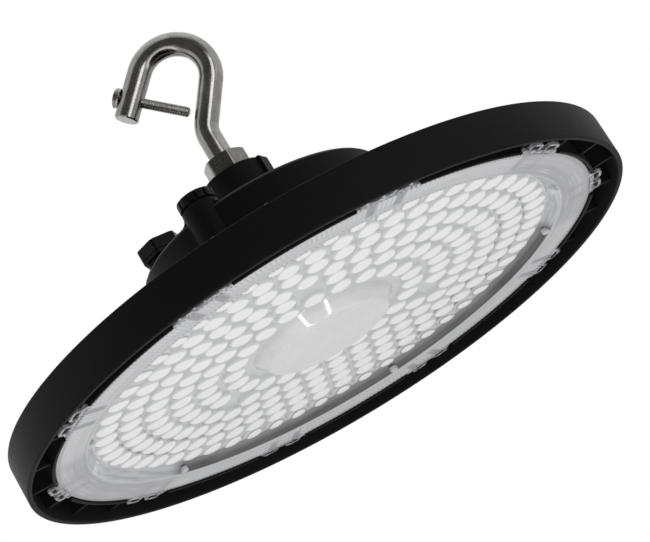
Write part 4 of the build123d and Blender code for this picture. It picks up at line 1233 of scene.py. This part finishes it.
@dataclass
class Hook:
    """Bent stainless bar, its lock nut, and the slotted screw across its mouth."""

    bar: float = 5.75
    start: float = 90.0
    nut_top: float = 100.75
    neck: float = 16.55
    lean: float = 34.8
    bend: float = 14.0
    bow: float = 17.1
    slope: float = 45.8
    tip: float = 24.0
    tip_chamfer: float = 0.6
    shank: float = 6.0
    shank_low: float = 66.75
    screw_place: float = 14.4
    screw_radius: float = 2.5
    screw_reach: float = 28.3
    screw_pitch: float = 0.8
    head_radius: float = 4.75
    head_height: float = 3.2
    seat_depth: float = 0.5
    seat_margin: float = 2.0

    @property
    def bow_z(self) -> float:
        """Height of the bow's centre, where the leaning run just touches the bow."""
        return self.nut_top + self.neck + self.bow / math.sin(math.radians(self.lean))

    def line(self) -> tuple[np.ndarray, np.ndarray, np.ndarray]:
        """Centre line: points (x, z), outward directions, and the distance along it.

        It is a straight neck, an arc that leans it over, a straight run, the bow's arc and a
        straight tip. The outward direction is the tangent turned a quarter to the right.
        """
        lean = math.radians(self.lean)
        bend_z = self.nut_top + self.neck - self.bend * math.tan(lean / 2)
        z = np.linspace(self.start, bend_z, 40)[:-1]
        neck = np.column_stack([np.zeros_like(z), z])
        turn = np.linspace(np.pi, np.pi - lean, 24)
        bend = np.column_stack([self.bend + self.bend * np.cos(turn), bend_z + self.bend * np.sin(turn)])
        sweep = np.linspace(-lean, math.radians(90 + self.slope), 110)
        bow = np.column_stack([self.bow * np.cos(sweep), self.bow_z + self.bow * np.sin(sweep)])
        share = np.linspace(0, 1, 26)[1:-1, None]
        climb = bend[-1] + (bow[0] - bend[-1]) * share
        down = np.array([-math.cos(math.radians(self.slope)), -math.sin(math.radians(self.slope))])
        run = np.linspace(0, self.tip - self.tip_chamfer, 60)[1:, None]
        tip = bow[-1] + down * run
        line = np.concatenate([neck, bend, climb, bow, tip])
        ahead = np.gradient(line, axis=0)
        ahead /= np.linalg.norm(ahead, axis=1, keepdims=True)
        out = np.column_stack([ahead[:, 1], -ahead[:, 0]])
        along = np.concatenate([[0.0], np.cumsum(np.linalg.norm(np.diff(line, axis=0), axis=1))])
        return line, out, along

    def screw_frame(self) -> tuple[np.ndarray, np.ndarray, np.ndarray]:
        """Where the screw crosses the tip's centre line, its direction, and the tip's direction."""
        last = math.radians(90 + self.slope)
        corner = np.array([self.bow * math.cos(last), self.bow_z + self.bow * math.sin(last)])
        down = np.array([-math.cos(math.radians(self.slope)), -math.sin(math.radians(self.slope))])
        centre = corner + down * self.screw_place
        return centre, np.array([-down[1], down[0]]), down

    def bar_surface(self) -> Surface:
        """Round section carried along the centre line, chamfered at the tip.

        Point (i, j) is line_i + r (cos(t_j) out_i + sin(t_j) y). Under the screw's head the bar
        is cut flat: there the outward part is at most the bar's radius less the seat's depth.
        """
        columns = 64
        line, out, along = self.line()
        angle = np.linspace(0, 2 * np.pi, columns, endpoint=False)
        radius = np.full(len(line), self.bar)
        ahead = (line[-1] - line[-2]) / np.linalg.norm(line[-1] - line[-2])
        line = np.concatenate([line, [line[-1] + ahead * self.tip_chamfer]])
        out = np.concatenate([out, out[-1:]])
        along = np.append(along, along[-1] + self.tip_chamfer)
        radius = np.append(radius, self.bar - self.tip_chamfer)
        outward = radius[:, None] * np.cos(angle)
        across = radius[:, None] * np.sin(angle)
        centre, _, down = self.screw_frame()
        step = np.abs((line - centre) @ down)[:, None]
        away = np.hypot(step, across)
        seat = (away < self.head_radius + self.seat_margin) & (step < 9.0) & (line[:, :1] < 0)
        outward = np.where(seat, np.minimum(outward, self.bar - self.seat_depth), outward)
        x = line[:, :1] + outward * out[:, :1]
        z = line[:, 1:] + outward * out[:, 1:]
        surface = Surface.woven(np.stack([x, across, z], axis=2), wrap_columns=True)
        surface.lidded(np.arange(columns), np.arange(columns) + (len(line) - 1) * columns)
        surface.valued("along", np.repeat(along, columns))
        return surface.valued("round", np.tile(np.abs(np.pi - angle), len(line)))

    def screw_place_matrix(self) -> np.ndarray:
        """Matrix that lays the screw's own +Z along its direction, with its origin on the tip."""
        centre, direction, down = self.screw_frame()
        matrix = np.eye(4)
        matrix[:3, 2] = (direction[0], 0.0, direction[1])
        matrix[:3, 0] = (0.0, 1.0, 0.0)
        matrix[:3, 1] = np.cross(matrix[:3, 2], matrix[:3, 0])
        matrix[:3, 3] = (centre[0], 0.0, centre[1])
        return matrix[None]

    def screw_thread(self) -> Surface:
        """Threaded shank: the radius dips by the distance from the nearest turn of the thread.

        With s along the screw and t around, the turn's phase is s / pitch - t / (2 pi), and the
        radius is the full one less a depth times the triangle wave of that phase.
        """
        seat = self.seat_depth - self.bar
        columns = 36
        s = np.arange(seat, self.screw_reach - 0.7, 0.1)[:, None]
        t = np.linspace(0, 2 * np.pi, columns, endpoint=False)[None, :]
        wave = np.abs((s / self.screw_pitch - t / (2 * np.pi)) % 1.0 - 0.5) * 2
        fade = np.clip((s - seat) / 1.0, 0, 1)
        radius = self.screw_radius - 0.36 * wave * fade
        s_end = np.array([[self.screw_reach - 0.35], [self.screw_reach]])
        r_end = np.array([[self.screw_radius - 0.45], [self.screw_radius - 0.85]]) + 0 * t
        s, radius = np.concatenate([s, s_end]), np.concatenate([radius, r_end])
        grid = np.stack(np.broadcast_arrays(radius * np.cos(t), radius * np.sin(t), s), axis=2)
        surface = Surface.woven(grid, wrap_columns=True)
        return surface.lidded(np.arange(columns), np.arange(columns) + (len(s) - 1) * columns)

    def screw_head(self) -> Surface:
        """Slotted pan head: two half heads with the slot's width between them, on one base.

        Each half is a domed disc whose points stop at the slot's wall: the distance across the
        slot is at least half its width.
        """
        seat = self.seat_depth - self.bar
        radius, height, slot = self.head_radius, self.head_height, 0.6
        share = np.linspace(0, 1, 12)[:, None]
        t = np.linspace(-np.pi / 2, np.pi / 2, 33)[None, :]
        half = []
        for side in (1.0, -1.0):
            x = side * np.maximum(radius * share * np.cos(t), slot)
            y = radius * share * np.sin(t)
            top = seat - height * (0.72 + 0.28 * np.sqrt(np.clip(1 - (share * 0.98) ** 4, 0, 1))) + 0 * t
            dome = np.stack([x, y, top], axis=2)
            wall = np.stack([x[-1:], y[-1:], np.full_like(x[-1:], seat - 1.3)], axis=2)
            inner = np.stack([x[::-1], y[::-1], np.full_like(x, seat - 1.3)], axis=2)
            half.append(Surface.woven(np.concatenate([dome, wall, inner[1:]])))
        base = turned(rounded([(0.0, seat - 1.7), (radius, seat - 1.7), (radius, seat), (0.0, seat)], [0.01, 0.1, 0.2, 0.01], 3), 64)
        return base.joined(*half)

    def build(self) -> None:
        """Makes the hook, its nut and its screw."""
        bar = self.bar_surface()
        shank = turned(rounded([(0.0, self.shank_low), (self.shank, self.shank_low), (self.shank, self.nut_top - 0.4), (0.0, self.nut_top - 0.4)], [0.01, 0.5, 0.05, 0.01], 3), 64)
        built(bar.joined(shank), "hook_bar", STEEL, replaces=["hook"])
        built(HexPiece.HOOK_NUT.surface(), "hook_lock_nut", NUT_STEEL, crease=20.0, replaces=["hook_nut"])
        place = self.screw_place_matrix()
        built(self.screw_thread().copied(place), "mouth_screw_thread", FASTENER, crease=50.0, replaces=["safety_screw"])
        built(self.screw_head().copied(place), "mouth_screw_head", FASTENER, crease=40.0)


@dataclass
class CarriedNodes:
    """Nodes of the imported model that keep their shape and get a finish."""

    finishes: dict[str, Finish] = field(
        default_factory=lambda: {
            "breather_plug": Moulded("breather_plastic", (0.008, 0.008, 0.0085), 0.42, specular=0.12),
            "grub_screw": Moulded("black_steel", (0.05, 0.05, 0.05), 0.35, 0.9),
            "housing_screws": FASTENER,
            "port_seal": Moulded("black_rubber", (0.012, 0.012, 0.012), 0.75, specular=0.15),
            "gland_seal": Moulded("black_rubber", (0.012, 0.012, 0.012), 0.75, specular=0.15),
            "housing_seal": Moulded("black_rubber", (0.012, 0.012, 0.012), 0.75, specular=0.15),
            "lead_grommet": Moulded("black_rubber", (0.012, 0.012, 0.012), 0.75, specular=0.15),
            "lens_gasket": Moulded("clear_silicone", (0.55, 0.55, 0.53), 0.6),
            "led_board": Moulded("board_white", (0.78, 0.78, 0.77), 0.5),
            "leds": Moulded("led_phosphor", (0.82, 0.72, 0.28), 0.45),
            "thermal_pad": Moulded("pad_grey", (0.36, 0.38, 0.42), 0.8),
            "board_screws": FASTENER,
            "led_leads": Moulded("lead_red", (0.45, 0.03, 0.025), 0.5),
            "gland_locknut": Moulded("gland_plastic_inside", (0.012, 0.012, 0.012), 0.45),
            "driver_board": Moulded("board_green", (0.02, 0.14, 0.05), 0.4),
            "driver_standoffs": Moulded("brass", (0.66, 0.46, 0.18), 0.3, 1.0),
            "driver_screws": FASTENER,
            "transformer": Moulded("tape_yellow", (0.62, 0.45, 0.06), 0.55),
            "bulk_capacitors": Moulded("sleeve_blue", (0.02, 0.025, 0.06), 0.3),
            "line_choke": Moulded("core_green", (0.05, 0.16, 0.07), 0.6),
            "power_transistors": Moulded("chip_black", (0.02, 0.02, 0.02), 0.55),
            "terminal_block": Moulded("terminal_green", (0.03, 0.14, 0.05), 0.45),
        }
    )

    def dress(self, nodes: dict[str, bpy.types.Object]) -> None:
        """Gives each node its finish."""
        for name, finish in self.finishes.items():
            slots = nodes[name].material_slots
            if not slots:
                nodes[name].data.materials.append(None)
            for slot in nodes[name].material_slots:
                slot.material = finish.material()
            LOG.info("%s: %s", name, finish.title)


# ---------------------------------------------------------------------------
# Studio
# ---------------------------------------------------------------------------


@dataclass
class Studio:
    """Camera at the photographer's place, plain pale floor, and soft lights."""

    focal: float = 122.174
    place: tuple[float, float, float] = (0.0, -0.93923, -0.26166)
    right: tuple[float, float, float] = (0.85683774, 0.14192453, -0.49566774)
    up: tuple[float, float, float] = (0.51540858, -0.26100856, 0.81622823)
    ahead: tuple[float, float, float] = (0.01353072, 0.95484656, 0.29679111)
    floor_level: float = -0.62
    room_level: float = 0.40
    floor_lift: float = 0.4

    def camera(self) -> None:
        """Camera turned so that its own axes are the measured ones."""
        lens = bpy.data.cameras.new("camera")
        lens.lens = self.focal
        lens.sensor_width = 36.0
        lens.clip_start = 0.01
        lens.clip_end = 60.0
        eye = bpy.data.objects.new("camera", lens)
        turn = Matrix((Vector(self.right), Vector(self.up), -Vector(self.ahead))).transposed()
        eye.matrix_world = Matrix.Translation(Vector(self.place)) @ turn.to_4x4()
        bpy.context.scene.collection.objects.link(eye)
        bpy.context.scene.camera = eye

    def lamp(self, name: str, place: Sequence[float], aim: Sequence[float], size: Sequence[float], power: float) -> None:
        """One soft rectangular light that the camera doesn't see.

        Args:
            name: Its name.
            place: Where it stands, in metres.
            aim: The point that it faces.
            size: Width and height in metres.
            power: Watts.
        """
        light = bpy.data.lights.new(name, "AREA")
        light.shape = "RECTANGLE"
        light.size, light.size_y = size
        light.energy = power
        holder = bpy.data.objects.new(name, light)
        facing = (Vector(aim) - Vector(place)).to_track_quat("-Z", "Y")
        holder.matrix_world = Matrix.Translation(Vector(place)) @ facing.to_matrix().to_4x4()
        holder.visible_camera = False
        bpy.context.scene.collection.objects.link(holder)

    def lights(self) -> None:
        """Two narrow lamps under the lens and broad soft lights."""
        middle = (0.0, 0.0, 0.03)
        self.lamp("spot_left", (-0.156, -0.224, -0.44), (0.0, -0.03, 0.0), (0.022, 0.4), 0.5)
        self.lamp("spot_right", (0.156, -0.224, -0.44), (0.0, -0.03, 0.0), (0.022, 0.4), 0.5)
        self.lamp("soft_top", (0.3, 0.2, 1.6), middle, (1.6, 1.6), 3.0)
        self.lamp("soft_back", (-0.4, 1.5, 0.7), middle, (1.8, 1.0), 3.0)
        self.lamp("soft_under", (0.0, 0.0, -0.58), middle, (0.8, 0.8), 1.0)

    def glow(self, tree: bpy.types.NodeTree, level: float, kind: str = "ShaderNodeEmission") -> bpy.types.NodeSocket:
        """White light of one level.

        Args:
            tree: The node tree it goes in.
            level: Its strength.
            kind: The node that gives it.
        """
        node = tree.nodes.new(kind)
        node.inputs["Color"].default_value = (1.0, 1.0, 1.0, 1.0)
        node.inputs["Strength"].default_value = level
        return node.outputs[0]

    def mixed(
        self,
        tree: bpy.types.NodeTree,
        factor: bpy.types.NodeSocket,
        first: bpy.types.NodeSocket | None,
        second: bpy.types.NodeSocket,
    ) -> bpy.types.NodeSocket:
        """Mix of two shaders; with no first one, the mix is dark where the factor is 0."""
        node = tree.nodes.new("ShaderNodeMixShader")
        for socket, given in zip(node.inputs, (factor, first, second)):
            if given is not None:
                tree.links.new(given, socket)
        return node.outputs[0]

    def seen(self, tree: bpy.types.NodeTree) -> bpy.types.NodeSocket:
        """Socket that is 1 for what the camera sees, also in gloss and through clear plastic."""
        ray = tree.nodes.new("ShaderNodeLightPath")
        total = ray.outputs["Is Camera Ray"]
        for kind in ("Is Glossy Ray", "Is Transmission Ray"):
            both = tree.nodes.new("ShaderNodeMath")
            both.operation, both.use_clamp = "ADD", True
            tree.links.new(total, both.inputs[0])
            tree.links.new(ray.outputs[kind], both.inputs[1])
            total = both.outputs[0]
        return total

    def world(self) -> None:
        """White behind the lamp and in its metal and plastic, and a softer level of light on it."""
        world = bpy.data.worlds.new("studio")
        world.use_nodes = True
        bpy.context.scene.world = world
        tree = world.node_tree
        tree.nodes.clear()
        room = self.glow(tree, self.room_level, "ShaderNodeBackground")
        white = self.glow(tree, 1.0, "ShaderNodeBackground")
        out = tree.nodes.new("ShaderNodeOutputWorld")
        tree.links.new(self.mixed(tree, self.seen(tree), room, white), out.inputs["Surface"])

    def floor(self) -> None:
        """Wide pale floor below the lamp, open to a view from beneath it."""
        half = 6.0
        corners = [(-half, -half), (half, -half), (half, half), (-half, half)]
        mesh = bpy.data.meshes.new("floor")
        mesh.from_pydata([(x, y, self.floor_level) for x, y in corners], [], [(0, 1, 2, 3)])
        paint = Paint("floor_pale")
        cloud = paint.noise(3.0, 2.0)
        paint.set(base_color=paint.blend(cloud, (0.78, 0.78, 0.78), (0.82, 0.82, 0.82)), roughness=0.75)
        tree = paint.material.node_tree
        lift = self.mixed(tree, self.seen(tree), None, self.glow(tree, self.floor_lift))
        both = tree.nodes.new("ShaderNodeAddShader")
        tree.links.new(paint.shader.outputs[0], both.inputs[0])
        tree.links.new(lift, both.inputs[1])
        beneath = tree.nodes.new("ShaderNodeNewGeometry").outputs["Backfacing"]
        clear = tree.nodes.new("ShaderNodeBsdfTransparent").outputs[0]
        tree.links.new(self.mixed(tree, beneath, both.outputs[0], clear), paint.output.inputs["Surface"])
        paint.material.cycles.emission_sampling = "NONE"
        mesh.materials.append(paint.material)
        ground = bpy.data.objects.new("floor", mesh)
        bpy.context.scene.collection.objects.link(ground)

    def card(
        self, name: str, reach: float, turn: tuple[float, float], height: tuple[float, float], level: float
    ) -> None:
        """Card that shows only in the gloss of the lamp, and lights or shades nothing.

        It is a part of an upright cylinder about the lamp's axis: the angle runs over its turn
        and the height from its lower to its upper edge.

        Args:
            name: Its name.
            reach: Its distance from the axis in metres.
            turn: Where it starts and ends round the axis, in degrees.
            height: Its lower and upper edge in metres.
            level: How bright it is, where 1 is white.
        """
        angle = np.radians(np.linspace(*turn, 25))[None, :]
        rise = np.array(height)[:, None]
        grid = np.stack(np.broadcast_arrays(reach * np.cos(angle), reach * np.sin(angle), rise), axis=2)
        surface = Surface.woven(grid)
        mesh = bpy.data.meshes.new(name)
        mesh.from_pydata(surface.points.tolist(), [], surface.faces[0].tolist())
        material = bpy.data.materials.new(name)
        material.use_nodes = True
        material.cycles.emission_sampling = "NONE"
        tree = material.node_tree
        tree.nodes.clear()
        gloss = tree.nodes.new("ShaderNodeLightPath").outputs["Is Glossy Ray"]
        clear = tree.nodes.new("ShaderNodeBsdfTransparent").outputs[0]
        shown = self.mixed(tree, gloss, clear, self.glow(tree, level))
        tree.links.new(shown, tree.nodes.new("ShaderNodeOutputMaterial").inputs["Surface"])
        mesh.materials.append(material)
        card = bpy.data.objects.new(name, mesh)
        bpy.context.scene.collection.objects.link(card)

    def build(self) -> None:
        """Sets up the whole studio."""
        self.camera()
        self.world()
        self.floor()
        self.card("card_grey", 1.9, (214.0, 325.0), (-0.60, 2.2), 0.14)
        self.card("card_side", 1.7, (296.0, 317.0), (-0.45, 0.80), 3.2)
        self.card("card_low", 0.9, (205.0, 345.0), (-0.60, -0.45), 3.2)
        self.lights()
        scene = bpy.context.scene
        scene.view_settings.view_transform = "Standard"


def main() -> None:
    """Builds the studio and the lamp."""
    logging.basicConfig(level=logging.INFO, format="%(message)s")
    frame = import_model()
    Studio().build()
    HeatSink().build()
    LensPlate().build()
    DriverHousing().build()
    PortCap().build()
    CableGland().build()
    Hook().build()
    CarriedNodes().dress(frame["nodes"])
    bpy.context.view_layer.update()


if __name__ == "__main__":
    main()
